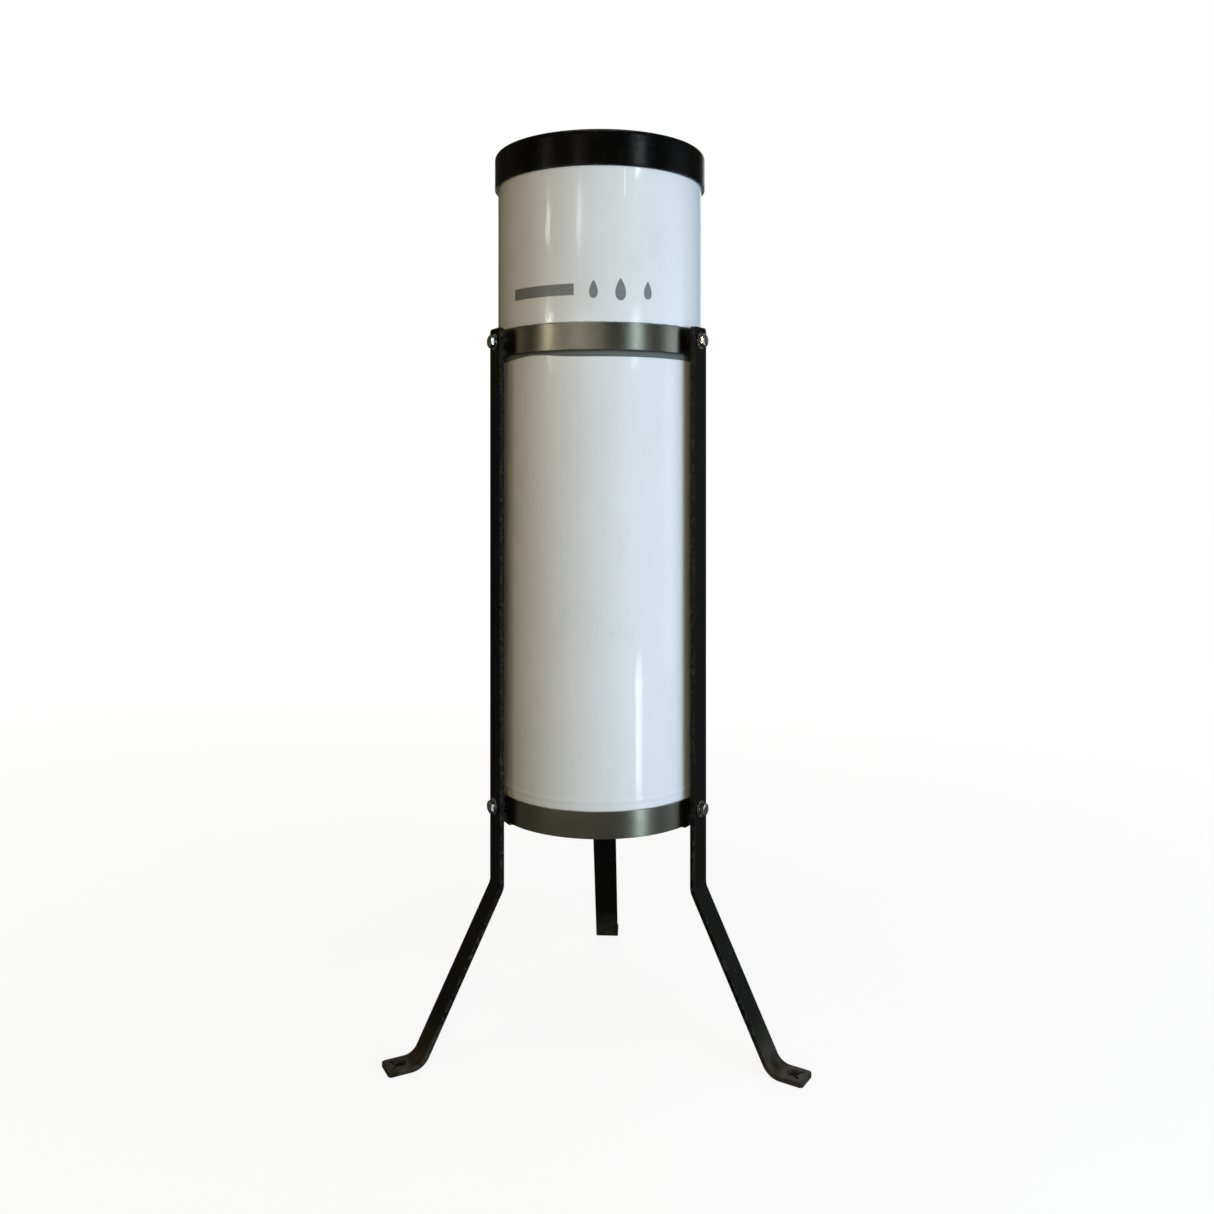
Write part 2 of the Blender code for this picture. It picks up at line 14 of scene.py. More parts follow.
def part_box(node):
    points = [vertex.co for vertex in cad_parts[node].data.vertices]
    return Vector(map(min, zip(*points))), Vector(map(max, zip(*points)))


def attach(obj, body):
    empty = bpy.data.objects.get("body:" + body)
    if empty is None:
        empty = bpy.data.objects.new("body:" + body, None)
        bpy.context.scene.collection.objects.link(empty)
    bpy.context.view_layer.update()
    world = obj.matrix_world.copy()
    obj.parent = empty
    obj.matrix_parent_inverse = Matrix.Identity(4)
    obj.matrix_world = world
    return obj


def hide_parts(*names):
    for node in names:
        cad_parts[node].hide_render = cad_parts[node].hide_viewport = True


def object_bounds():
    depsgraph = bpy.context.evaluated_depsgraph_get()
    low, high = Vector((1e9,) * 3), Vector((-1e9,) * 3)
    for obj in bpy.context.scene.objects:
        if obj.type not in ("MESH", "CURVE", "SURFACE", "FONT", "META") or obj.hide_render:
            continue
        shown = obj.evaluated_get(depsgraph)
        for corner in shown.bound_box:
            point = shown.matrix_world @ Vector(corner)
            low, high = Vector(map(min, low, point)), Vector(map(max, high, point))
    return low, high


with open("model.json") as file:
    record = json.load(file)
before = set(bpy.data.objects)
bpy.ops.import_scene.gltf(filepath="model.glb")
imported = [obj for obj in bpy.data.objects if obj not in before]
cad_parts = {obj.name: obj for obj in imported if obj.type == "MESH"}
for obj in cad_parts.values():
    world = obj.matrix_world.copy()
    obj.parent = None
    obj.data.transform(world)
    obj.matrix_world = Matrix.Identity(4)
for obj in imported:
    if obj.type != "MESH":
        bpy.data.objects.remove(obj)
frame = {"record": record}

SIDES = ("rear", "left", "right")
LEVELS = ("upper", "lower")

# A quarter turn.
QUARTER = math.pi / 2.0

# Round pieces: how finely they are spun, and how far from its ends a long straight run keeps a point.
ROUND_STEPS = 192
TUBE_STEPS = 96
SPOUT_STEPS = 64
ARC_STEPS = 6
SUPPORT = 0.001

# Outward bend in degrees where wear starts, its span to full wear, and the bend that shades as a crease.
WEAR_ANGLE = 4.0
WEAR_ANGLE_SPAN = 8.0
SHARP_ANGLE = math.radians(35.0)

# Gap where one piece fits round another, and the rounding of plain sheet edges.
FIT_GAP = 0.0003
SHEET_EDGE = 0.0003
SMALL_EDGE = 0.0004

# Receiver.
RIM_BORE = 0.1016
RIM_LEDGE = 0.0125
RIM_ROUND = 0.0045
RIM_EDGE_WIDTH = 0.0004
RIM_EDGE_SLOPE = (0.0002, 0.0001)
RIM_CHAMFER = 0.0006
SHELL_WALL = 0.00125
SHELL_EDGE = 0.0004
SEAM_LENGTH = 0.029
SEAM_WIDTH = 0.0016
SEAM_RISE = 0.00015
SEAM_AZIMUTH = math.radians(-74.5)
FUNNEL_WALL = 0.001
FUNNEL_FLANGE = 0.0032
FUNNEL_FLANGE_BEND = 0.0012
FUNNEL_NECK_BEND = 0.004
NECK_LENGTH = 0.012
SPOUT_WALL = 0.001

# Overflow can.
CAN_WALL = 0.001
CAN_LIP_DEPTH = 0.0027
CAN_LIP_RADIUS = 0.0012
BEAD_HEIGHT = 0.0335
BEAD_HALF_LENGTH = 0.0035
BEAD_RISE = 0.0004
BEAD_STEPS = 16
PAN_WALL = 0.001
PAN_CORNER = 0.002
PAN_MIDDLE_RADIUS = 0.04
LOCATOR_WALL = 0.0012
LOCATOR_FLANGE = 0.010
LOCATOR_FILLET = 0.0012

# Measuring tube.
TUBE_WALL = 0.0032
TUBE_EDGE = 0.0006
BASE_SHOULDER = 0.004
BASE_EDGE = 0.0005

# Stand.
RING_WALL = 0.0012
RING_EDGE = 0.0004
RING_WELD_AZIMUTH = math.radians(122.0)
WELD_HALF_WIDTH = 0.0016
WELD_RISE = 0.00035
RIPPLE_ROW = 0.0006
SEAM_ROWS = 24
RIDGE_STEPS = 8
RIDGE_SINK = 0.0002
LINER_WALL = 0.0005
LINER_EDGE = 0.00015
LINER_SPLIT_AZIMUTH = math.radians(81.0)
LINER_SPLIT_WIDTH = math.radians(0.6)
LINER_HITCH_AZIMUTH = math.radians(235.0)
LINER_HITCH_REACH = math.radians(15.0)
LINER_HITCH_RISE = 0.0030
LEG_THICKNESS = 0.0047625
LEG_WIDTH = 0.0254
LEG_BEND_HEIGHT = -0.0610
LEG_BEND_RADIUS = 0.016
HEEL_RADIUS = 0.1925
HEEL_BEND_RADIUS = 0.0165
LEG_CORNER = 0.0035
LEG_EDGE = 0.0006
LEG_BEND_STEPS = 14
FOOT_HOLE_RADIUS = 0.0044
FOOT_HOLE_FROM_TOE = 0.0140
BOLT_HOLE_RADIUS = 0.0036
HOLE_STEPS = 28
PLATE_EDGE_STEPS = 4
REST_CORNER = 0.0018
REST_EDGE = 0.0004

# Quarter-inch hardware.
HEX_FLATS = 0.0111125
HEX_STEPS = 72
HEAD_HEIGHT = 0.0034
HEAD_FACE_RADIUS = 0.0046
HEAD_SEAT_RISE = 0.0003
HEAD_DISH = ((0.0008, 0.00008), (0.0034, 0.00012))
HEX_SLOPE = math.tan(math.radians(30.0))
BOLT_RADIUS = 0.003175
BORE_RADIUS = 0.003475
THREAD_PITCH = 0.00127
THREAD_DEPTH = 0.0006
THREAD_STEPS = 8
THREAD_LEAD_ROWS = 6
THREAD_LEAD_SHARE = 0.12
WASHER_RADIUS = 0.0079
WASHER_EDGE = 0.0003
LOCK_RADIUS = 0.0062
LOCK_OPENING = math.radians(14.0)
LOCK_RISE = 0.0003
LOCK_EDGE = 0.00015
NUT_WELD_WIDTH = 0.0013
NUT_WELD_SINK = 0.0004
NUT_WELD_STEPS = 5

# Plain mark on the receiver: a straight bar and three drops.
MARK_RISE = 0.00008
MARK_BAR = (math.radians(-139.5), math.radians(-101.0))
MARK_BAR_HALF_HEIGHT = 0.0054
MARK_HEIGHT = 0.0304
MARK_STEPS = 80
DROPS = ((math.radians(-90.7), 0.0085), (math.radians(-76.6), 0.0105), (math.radians(-61.6), 0.0085))
DROP_STEPS = 24
DROP_WIDTH = 0.62

# Lights: name, azimuth in degrees from the camera's side and positive to its right, distance from the gauge's
# axis, height over the gauge's middle, sides, power and colour.
LIGHTS = (
    ("key", 46.0, 2.4, 0.06255, (3.6, 1.0), 50.0, (0.565, 0.755, 1.0)),
    ("right", 92.0, 2.2, -0.1, (1.6, 2.6), 8.0, (0.80, 0.92, 1.0)),
    ("front", 0.0, 1.9, 0.5, (1.4, 1.4), 10.0, (1.0, 0.77, 0.38)),
    ("fill", -50.0, 2.2, 0.45, (1.5, 0.7), 1.1, (1.0, 0.86, 0.55)),
    ("left", -100.0, 2.2, 0.0, (1.6, 2.6), 1.1, (1.0, 0.84, 0.46)),
    ("back", 175.0, 2.4, 0.6, (2.4, 2.4), 9.0, (1.0, 0.98, 0.95)),
    ("pane_left", -54.0, 2.0, 0.79, (0.24, 0.14), 0.5, (1.0, 0.95, 0.86)),
    ("pane_front", -19.0, 2.0, 0.79, (0.24, 0.14), 0.5, (1.0, 0.97, 0.90)),
    ("pane_ring", -54.0, 2.0, 0.49, (0.32, 0.13), 1.4, (1.0, 0.93, 0.75)),
    ("pane_rim", 44.0, 2.0, 0.97, (0.34, 0.16), 1.9, (0.84, 0.93, 1.0)),
    ("band", -16.0, 2.0, 0.477, (2.5, 0.08), 2.6, (1.0, 0.97, 0.86)),
    ("strip_high", 40.0, 0.8, 0.32855, (0.18, 0.12), 0.31, (0.70, 0.93, 1.0)),
    ("strip_low", 44.0, 0.8, -0.28745, (0.13, 0.28), 0.54, (0.74, 0.92, 1.0)),
    ("top", 0.0, 0.05, 2.2, (1.6, 1.6), 6.0, (1.0, 1.0, 1.0)),
)

# Lights that point level, that no glossy piece mirrors, and that show only when mirrored.
LEVEL_LIGHTS = ("strip_high", "strip_low")
UNMIRRORED_LIGHTS = ("key", "front")
MIRRORED_ONLY_LIGHTS = ("band",)

# Share of a light's side over which it fades in from each border.
LIGHT_FADE = 0.3

# Floor: size, and the glow that fades it into the white behind it.
FLOOR_RADIUS = 30.0
FLOOR_GAP = 0.0004
FLOOR_GLOW_REACH = (0.4, 2.4)
FLOOR_GLOW = (0.88, 1.0)

# Camera, as shares of the gauge's height where it is a length.
CAMERA_DISTANCE = 1.293
CAMERA_HEIGHT = 0.638
CAMERA_YAW = math.radians(2.6)
CAMERA_LENS = 32.88
CAMERA_SHIFT = (0.0059, -0.1127)


# -------- places, read from the frame


def span(node, axis):
    """Lowest and highest coordinate of a CAD node along one axis."""
    lowest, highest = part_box(node)
    return lowest[axis], highest[axis]


def radius_of(node):
    """Outside radius of a CAD node spun about the gauge's axis."""
    lowest, highest = span(node, 0)
    return (highest - lowest) / 2.0


def bolt_height(level):
    """Height of the bolts' axes at one ring."""
    return sum(span(f"bolt_{level}_rear", 2)) / 2.0


def leg_azimuths():
    """Direction of each leg, from its foot's mount."""
    found = {}
    for mount in frame["record"]["mounts"]:
        if mount["name"].startswith("foot_"):
            x, y, _ = mount["pos_m"]
            found[mount["name"][len("foot_"):]] = math.atan2(y, x)
    return found


# -------- mesh tools


def polar(radius, turn):
    return radius * math.cos(turn), radius * math.sin(turn)


def around(steps):
    """Evenly spaced turns, once round."""
    return [math.tau * step / steps for step in range(steps)]


def shares(steps):
    """Even steps from 0 to 1, both included."""
    return [step / steps for step in range(steps + 1)]


def bridge(shape, rows, closed=False):
    """Join each loop of vertices to the next, and the last to the first when the rows close."""
    for near, far in zip(rows, rows[1:] + (rows[:1] if closed else [])):
        for step in range(len(near)):
            after = (step + 1) % len(near)
            corners = dict.fromkeys((near[step], near[after], far[after], far[step]))
            shape.faces.new(tuple(corners))


def spin(profile, steps, closed=True):
    """Turn an outline of (radius, height) points about Z. A point on the axis stays one vertex."""
    shape = bmesh.new()
    rings = []
    for radius, height in profile:
        if radius == 0.0:
            rings.append([shape.verts.new((0.0, 0.0, height))] * steps)
            continue
        rings.append([shape.verts.new((*polar(radius, turn), height)) for turn in around(steps)])
    bridge(shape, rings, closed)
    return shape


def loft(loops, closed=False):
    """Join a row of equal loops, and cap its ends unless it closes on itself."""
    shape = bmesh.new()
    rows = [[shape.verts.new(point) for point in loop] for loop in loops]
    if not closed:
        shape.faces.new(rows[0])
        shape.faces.new(rows[-1])
    bridge(shape, rows, closed)
    return shape


def arc(centre, radius, start, end, steps=ARC_STEPS):
    """Points along an arc, both ends included."""
    points = [polar(radius, start + (end - start) * share) for share in shares(steps)]
    return [(centre[0] + x, centre[1] + y) for x, y in points]


def supported(points, closed=True):
    """The same outline, with a point near each end of every long run, so that edges shade crisply."""
    ends = points[1:] + (points[:1] if closed else [])
    result = []
    for first, second in zip(points, ends):
        result.append(first)
        run = Vector(second) - Vector(first)
        if run.length > 4.0 * SUPPORT:
            step = run.normalized() * SUPPORT
            result += [tuple(Vector(first) + step), tuple(Vector(second) - step)]
    return result if closed else result + points[-1:]


def rounded_band(inner, outer, bottom, top, edge):
    """Outline of a rectangle section with its four corners rounded, from the inner bottom corner."""
    return [
        *arc((inner + edge, bottom + edge), edge, 2.0 * QUARTER, 3.0 * QUARTER),
        *arc((outer - edge, bottom + edge), edge, -QUARTER, 0.0),
        *arc((outer - edge, top - edge), edge, 0.0, QUARTER),
        *arc((inner + edge, top - edge), edge, QUARTER, 2.0 * QUARTER),
    ]


def mark_edges(shape):
    """Store how sharply the shape turns outwards at each vertex, for wear along its edges."""
    bmesh.ops.recalc_face_normals(shape, faces=shape.faces)
    layer = shape.verts.layers.float.new("edge")
    for vertex in shape.verts:
        bends = [edge.calc_face_angle_signed(0.0) for edge in vertex.link_edges if len(edge.link_faces) == 2]
        sharpest = math.degrees(max(bends, default=0.0))
        vertex[layer] = min(1.0, max(0.0, (sharpest - WEAR_ANGLE) / WEAR_ANGLE_SPAN))


def add_piece(name, shape, body, finish, *nodes):
    """Turn a bmesh into a smooth piece that rides on a body and stands for CAD nodes."""
    bmesh.ops.recalc_face_normals(shape, faces=shape.faces)
    if "edge" not in shape.verts.layers.float.keys():
        mark_edges(shape)
    mesh = bpy.data.meshes.new(name)
    shape.to_mesh(mesh)
    shape.free()
    mesh.shade_smooth()
    mesh.set_sharp_from_angle(angle=SHARP_ANGLE)
    mesh.materials.append(FINISHES[finish])
    piece = bpy.data.objects.new(name, mesh)
    bpy.context.collection.objects.link(piece)
    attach(piece, body)
    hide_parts(*nodes)
    return piece


def turned(shape, azimuth, height=0.0):
    """A shape built in the plane of +X, turned to its azimuth and raised to its height."""
    matrix = Matrix.Translation((0.0, 0.0, height)) @ Matrix.Rotation(azimuth, 4, "Z")
    bmesh.ops.transform(shape, matrix=matrix, verts=shape.verts)
    return shape


def joined(first, second):
    """Two bmeshes as one."""
    mesh = bpy.data.meshes.new("joined")
    second.to_mesh(mesh)
    second.free()
    first.from_mesh(mesh)
    bpy.data.meshes.remove(mesh)
    return first


def ridge(radius, azimuth, bottom, top, half_width, rise, ripple=0.0):
    """Low rounded ridge up a cylinder's outside: a seam, or a weld when it has ripples."""
    rows = max(12, int((top - bottom) / RIPPLE_ROW)) if ripple else SEAM_ROWS
    loops = []
    for row, share in enumerate(shares(rows)):
        height = bottom + (top - bottom) * share
        ends = min(1.0, 6.0 * min(share, 1.0 - share) + 0.15)
        swell = ends * rise * (1.0 + ripple * math.sin(row * 2.1) + 0.4 * ripple * math.sin(row * 0.83))
        loop = []
        for side in shares(RIDGE_STEPS):
            across = 2.0 * side - 1.0
            reach = radius + swell * math.cos(across * QUARTER) - RIDGE_SINK * (abs(across) == 1.0)
            turn = azimuth + across * half_width * ends / radius
            loop.append((*polar(reach, turn), height))
        loops.append(loop)
    return loft(loops)


# -------- materials


class Graph:
    """Node tree of one material round its Principled BSDF."""

    def __init__(self, name, metallic=0.0, specular=0.5):
        self.material = bpy.data.materials.new(name)
        self.material.use_nodes = True
        self.tree = self.material.node_tree
        self.surface = self.tree.nodes["Principled BSDF"]
        self.surface.inputs["Metallic"].default_value = metallic
        self.surface.inputs["Specular IOR Level"].default_value = specular
        self.place = self.add("ShaderNodeTexCoord").outputs["Object"]

    def add(self, kind, **settings):
        node = self.tree.nodes.new(kind)
        for key, value in settings.items():
            setattr(node, key, value)
        return node

    def feed(self, socket, value):
        """Link a socket to another, or set it to a plain value."""
        if isinstance(value, bpy.types.NodeSocket):
            self.tree.links.new(value, socket)
        else:
            socket.default_value = (*value, 1.0) if isinstance(value, tuple) else value

    def noise(self, scale, stretch=(1.0, 1.0, 1.0), detail=4.0, place=None):
        """Noise from 0 to 1 with its features per metre, stretched along the axes."""
        mapping = self.add("ShaderNodeMapping")
        mapping.inputs["Scale"].default_value = stretch
        self.feed(mapping.inputs["Vector"], place or self.place)
        noise = self.add("ShaderNodeTexNoise")
        noise.inputs["Scale"].default_value = scale
        noise.inputs["Detail"].default_value = detail
        self.feed(noise.inputs["Vector"], mapping.outputs["Vector"])
        return noise.outputs["Fac"]

    def ramp(self, value, low, high, start=0.0, end=1.0):
        """Straight clamped map from low..high to start..end."""
        node = self.add("ShaderNodeMapRange")
        for key, number in zip(("From Min", "From Max", "To Min", "To Max"), (low, high, start, end)):
            node.inputs[key].default_value = number
        self.feed(node.inputs["Value"], value)
        return node.outputs["Result"]

    def mottle(self, scale, low, high):
        """Slow patchy change between two values."""
        return self.ramp(self.noise(scale), 0.3, 0.7, low, high)

    def calc(self, operation, first, second=0.0):
        node = self.add("ShaderNodeMath", operation=operation)
        self.feed(node.inputs[0], first)
        self.feed(node.inputs[1], second)
        return node.outputs["Value"]

    def blend(self, share, first, second):
        """Colour between two colours."""
        node = self.add("ShaderNodeMix", data_type="RGBA")
        self.feed(node.inputs["Factor"], share)
        self.feed(node.inputs["A"], first)
        self.feed(node.inputs["B"], second)
        return node.outputs["Result"]

    def edge(self):
        """How close the point is to an outward edge, where a finish wears; below zero it marks the receiver's
        seam, which white_enamel paints near-white as a painted highlight.
        """
        return self.add("ShaderNodeAttribute", attribute_name="edge").outputs["Fac"]

    def worn(self, scale, low, high, most=1.0, detail=4.0):
        """Patches from 0 to most along the edges."""
        patches = self.ramp(self.noise(scale, detail=detail), low, high, 0.0, most)
        return self.calc("MULTIPLY", self.edge(), patches)

    def parts(self):
        """The point's three coordinates."""
        node = self.add("ShaderNodeSeparateXYZ")
        self.feed(node.inputs["Vector"], self.place)
        return node.outputs

    def lathe_place(self):
        """Distance from the gauge's axis and height as a vector, for lines left by turning or rolling."""
        parts = self.parts()
        squares = [self.calc("MULTIPLY", parts[axis], parts[axis]) for axis in ("X", "Y")]
        place = self.add("ShaderNodeCombineXYZ")
        self.feed(place.inputs["X"], self.calc("SQRT", self.calc("ADD", *squares)))
        self.feed(place.inputs["Z"], parts["Z"])
        return place.outputs["Vector"]

    def bumps(self, *layers):
        """Chain bumps of (height, distance in metres) into the surface's normal."""
        normal = None
        for value, distance in layers:
            node = self.add("ShaderNodeBump")
            node.inputs["Distance"].default_value = distance
            self.feed(node.inputs["Height"], value)
            if normal is not None:
                self.feed(node.inputs["Normal"], normal)
            normal = node.outputs["Normal"]
        self.feed(self.surface.inputs["Normal"], normal)

    def paint(self, color, roughness):
        self.feed(self.surface.inputs["Base Color"], color)
        self.feed(self.surface.inputs["Roughness"], roughness)
        return self.material


def white_enamel():
    """Glossy baked enamel on rolled sheet: orange peel, slow waves, faint smudges, grime at its edges.

    Below zero the edge value marks the receiver's seam, where the enamel is painted near-white as a painted
    highlight along the seam.
    """
    graph = Graph("white_enamel", specular=0.4)
    tone = graph.blend(graph.noise(9.0), (0.81, 0.81, 0.805), (0.75, 0.75, 0.74))
    smudge = graph.ramp(graph.noise(38.0, (1.0, 1.0, 0.45), 6.0), 0.56, 0.75, 0.0, 0.16)
    tone = graph.blend(smudge, tone, (0.55, 0.54, 0.50))
    specks = graph.ramp(graph.noise(900.0, detail=1.0), 0.74, 0.78, 0.0, 0.5)
    tone = graph.blend(specks, tone, (0.33, 0.30, 0.25))
    tone = graph.blend(graph.worn(160.0, 0.42, 0.62, 0.6), tone, (0.30, 0.28, 0.23))
    # Painted highlight: the seam's vertices, whose edge value is below zero, are painted near-white.
    tone = graph.blend(graph.ramp(graph.edge(), -1.0, 0.0, 1.0, 0.0), tone, (0.98, 0.98, 0.98))
    gloss = graph.ramp(graph.noise(55.0, (1.0, 1.0, 0.3), 5.0), 0.35, 0.7, 0.04, 0.12)
    graph.bumps(
        (graph.noise(13.0, (1.0, 1.0, 0.35), 2.0), 0.0011),
        (graph.noise(120.0, (1.0, 1.0, 0.35), 2.0), 0.00022),
        (graph.noise(430.0, detail=2.0), 0.00003),
    )
    return graph.paint(tone, gloss)


def rim_black():
    """Satin black anodised aluminium with the fine lines of its turning."""
    graph = Graph("rim_black", specular=0.2)
    place = graph.lathe_place()
    lines = graph.noise(2600.0, detail=3.0, place=place)
    bands = graph.noise(420.0, detail=2.0, place=place)
    tone = graph.blend(lines, (0.0005, 0.0005, 0.0005), (0.0020, 0.0020, 0.0022))
    film = graph.ramp(graph.noise(60.0, detail=6.0), 0.5, 0.8, 0.0, 0.3)
    tone = graph.blend(film, tone, (0.009, 0.0085, 0.008))
    tone = graph.blend(graph.worn(240.0, 0.45, 0.68, 0.2), tone, (0.10, 0.097, 0.092))
    graph.bumps((bands, 0.00002), (lines, 0.000008))
    return graph.paint(tone, graph.mottle(90.0, 0.20, 0.29))


def ring_steel():
    """Rolled strip with lengthwise brushing, dull olive oxide and darker stains."""
    graph = Graph("ring_steel", metallic=1.0)
    place = graph.lathe_place()
    brush = graph.noise(3200.0, detail=3.0, place=place)
    streaks = graph.noise(900.0, (0.012, 0.012, 1.0), 4.0)
    tone = graph.blend(graph.noise(16.0), (0.40, 0.385, 0.33), (0.34, 0.328, 0.275))
    tone = graph.blend(graph.ramp(streaks, 0.4, 0.7, 0.0, 0.25), tone, (0.44, 0.42, 0.37))
    stain = graph.ramp(graph.noise(70.0, detail=7.0), 0.57, 0.74, 0.0, 0.35)
    tone = graph.blend(stain, tone, (0.24, 0.225, 0.17))
    tone = graph.blend(graph.worn(300.0, 0.4, 0.6, 0.6), tone, (0.46, 0.45, 0.42))
    tangent = graph.add("ShaderNodeTangent", direction_type="RADIAL", axis="Z")
    graph.feed(graph.surface.inputs["Tangent"], tangent.outputs["Tangent"])
    graph.surface.inputs["Anisotropic"].default_value = 0.6
    graph.surface.inputs["Anisotropic Rotation"].default_value = 0.25
    graph.bumps((streaks, 0.000003), (brush, 0.000003))
    return graph.paint(tone, graph.ramp(graph.noise(120.0, (1.0, 1.0, 4.0)), 0.3, 0.7, 0.31, 0.40))


def black_coat():
    """Satin black powder coat: pebbled, rubbed lighter at the edges, dusty towards the ground."""
    graph = Graph("black_coat", specular=0.18)
    ground = span("leg_rear", 2)[0]
    tone = graph.blend(graph.noise(30.0, detail=6.0), (0.0015, 0.0015, 0.0013), (0.0055, 0.005, 0.004))
    tone = graph.blend(graph.worn(210.0, 0.48, 0.66, 0.6, 5.0), tone, (0.045, 0.043, 0.038))
    near_ground = graph.ramp(graph.parts()["Z"], ground, ground + 0.045, 0.55, 0.0)
    patches = graph.ramp(graph.noise(85.0, detail=7.0), 0.30, 0.70, 0.15, 1.0)
    tone = graph.blend(graph.calc("MULTIPLY", near_ground, patches), tone, (0.105, 0.088, 0.055))
    chips = graph.ramp(graph.noise(520.0, detail=1.0), 0.735, 0.755, 0.0, 0.6)
    tone = graph.blend(chips, tone, (0.12, 0.11, 0.095))
    graph.bumps((graph.noise(1500.0, detail=2.0), 0.00005), (graph.noise(260.0), 0.00005))
    return graph.paint(tone, graph.mottle(75.0, 0.36, 0.52))


def liner_grey():
    """Dull dark strip: extruded lines, a pale bloom, dusty edges, and painted shade just under the ring."""
    graph = Graph("liner_grey", specular=0.2)
    lines = graph.noise(2200.0, detail=2.0, place=graph.lathe_place())
    tone = graph.blend(graph.noise(45.0, detail=5.0), (0.150, 0.152, 0.148), (0.112, 0.114, 0.110))
    bloom = graph.ramp(graph.noise(110.0, (1.0, 1.0, 0.4), 6.0), 0.52, 0.72, 0.0, 0.35)
    tone = graph.blend(bloom, tone, (0.21, 0.21, 0.20))
    tone = graph.blend(graph.worn(260.0, 0.4, 0.65, 0.5), tone, (0.26, 0.24, 0.20))
    ring_bottom = span("upper_ring", 2)[0]
    # Painted shade: the strip darkens in a narrow band just under the ring's bottom edge.
    painted_shade_under_ring = graph.ramp(graph.parts()["Z"], ring_bottom - 0.0026, ring_bottom - 0.0008, 0.0, 0.85)
    tone = graph.blend(painted_shade_under_ring, tone, (0.03, 0.03, 0.027))
    graph.bumps((lines, 0.00003), (graph.noise(900.0, detail=2.0), 0.00002))
    return graph.paint(tone, graph.mottle(80.0, 0.66, 0.84))


def zinc():
    """Bright zinc plate with a faint passivation tint, fine scratches and duller spots."""
    graph = Graph("zinc", metallic=1.0)
    tone = graph.blend(graph.noise(260.0), (0.66, 0.67, 0.69), (0.60, 0.58, 0.50))
    dull = graph.ramp(graph.noise(700.0, detail=6.0), 0.55, 0.7, 0.0, 0.6)
    tone = graph.blend(dull, tone, (0.34, 0.33, 0.30))
    graph.bumps((graph.noise(1800.0, (1.0, 0.15, 1.0), 3.0), 0.00002))
    return graph.paint(tone, graph.mottle(500.0, 0.16, 0.34))


def clear_tube():
    """Clear extruded plastic with faint draw lines and a slight haze."""
    graph = Graph("clear_tube")
    graph.surface.inputs["Transmission Weight"].default_value = 1.0
    graph.surface.inputs["IOR"].default_value = 1.49
    tone = graph.blend(graph.noise(14.0), (0.93, 0.97, 0.98), (0.88, 0.94, 0.96))
    graph.bumps((graph.noise(420.0, (1.0, 1.0, 0.004), 3.0), 0.00003))
    return graph.paint(tone, graph.ramp(graph.noise(45.0, detail=6.0), 0.4, 0.75, 0.02, 0.14))


def base_plastic():
    """Pale moulded plastic with a fine grain and light scuffs."""
    graph = Graph("base_plastic")
    tone = graph.blend(graph.noise(40.0, detail=6.0), (0.72, 0.73, 0.72), (0.62, 0.62, 0.60))
    tone = graph.blend(graph.worn(200.0, 0.4, 0.65), tone, (0.48, 0.47, 0.44))
    graph.surface.inputs["Subsurface Weight"].default_value = 0.08
    graph.surface.inputs["Subsurface Scale"].default_value = 0.002
    graph.bumps((graph.noise(1100.0, detail=2.0), 0.00005))
    return graph.paint(tone, graph.mottle(120.0, 0.38, 0.56))


def mark_ink():
    """Flat grey screen ink with a slightly uneven film."""
    graph = Graph("mark_ink")
    tone = graph.blend(graph.noise(120.0, detail=6.0), (0.20, 0.205, 0.205), (0.16, 0.165, 0.165))
    pinholes = graph.ramp(graph.noise(1300.0, detail=1.0), 0.70, 0.74)
    tone = graph.blend(pinholes, tone, (0.62, 0.62, 0.60))
    graph.bumps((graph.noise(800.0), 0.00002))
    return graph.paint(tone, graph.mottle(200.0, 0.30, 0.45))


FINISHES = {}


def make_finishes():
    """One procedural material for each of the record's material slots, and the mark's ink."""
    makers = (
        white_enamel, rim_black, ring_steel, black_coat, liner_grey, zinc, clear_tube, base_plastic, mark_ink,
    )
    for make in makers:
        FINISHES[make.__name__] = make()


# -------- receiver


def build_rim():
    """Collar with a knife edge at the bore, a rounded crown and a ledge on the shell."""
    outer = radius_of("rim_ring")
    bottom, top = span("rim_ring", 2)
    socket = radius_of("receiver_shell") + FIT_GAP
    across, down = RIM_EDGE_SLOPE
    profile = [
        *arc((socket + SMALL_EDGE, bottom + SMALL_EDGE), SMALL_EDGE, 2.0 * QUARTER, 3.0 * QUARTER, 3),
        *arc((outer - RIM_CHAMFER, bottom + RIM_CHAMFER), RIM_CHAMFER, -QUARTER, 0.0, 4),
        *arc((outer - RIM_ROUND, top - RIM_ROUND), RIM_ROUND, 0.0, QUARTER, 10),
        (RIM_BORE + across, top - down),
        (RIM_BORE, top - RIM_EDGE_WIDTH),
        (RIM_BORE, top - RIM_LEDGE),
        (socket, top - RIM_LEDGE),
    ]
    add_piece("rim_collar", spin(supported(profile), ROUND_STEPS), "receiver", "rim_black", "rim_ring")


def build_shell():
    """Receiver's sheet wall with eased edges and the short end of its seam under the rim."""
    outer = radius_of("receiver_shell")
    bottom, top = span("receiver_shell", 2)
    band = rounded_band(outer - SHELL_WALL, outer, bottom, top, SHELL_EDGE)
    rim = span("rim_ring", 2)[0]
    seam = ridge(outer, SEAM_AZIMUTH, rim - SEAM_LENGTH, rim - FIT_GAP, SEAM_WIDTH / 2.0, SEAM_RISE)
    wall = spin(supported(band), ROUND_STEPS)
    mark_edges(wall)
    # The seam's edge value is set below zero, so white_enamel paints it near-white as a painted highlight.
    layer = seam.verts.layers.float.new("edge")
    for vertex in seam.verts:
        vertex[layer] = -1.0
    shape = joined(wall, seam)
    add_piece("receiver_wall", shape, "receiver", "white_enamel", "receiver_shell")


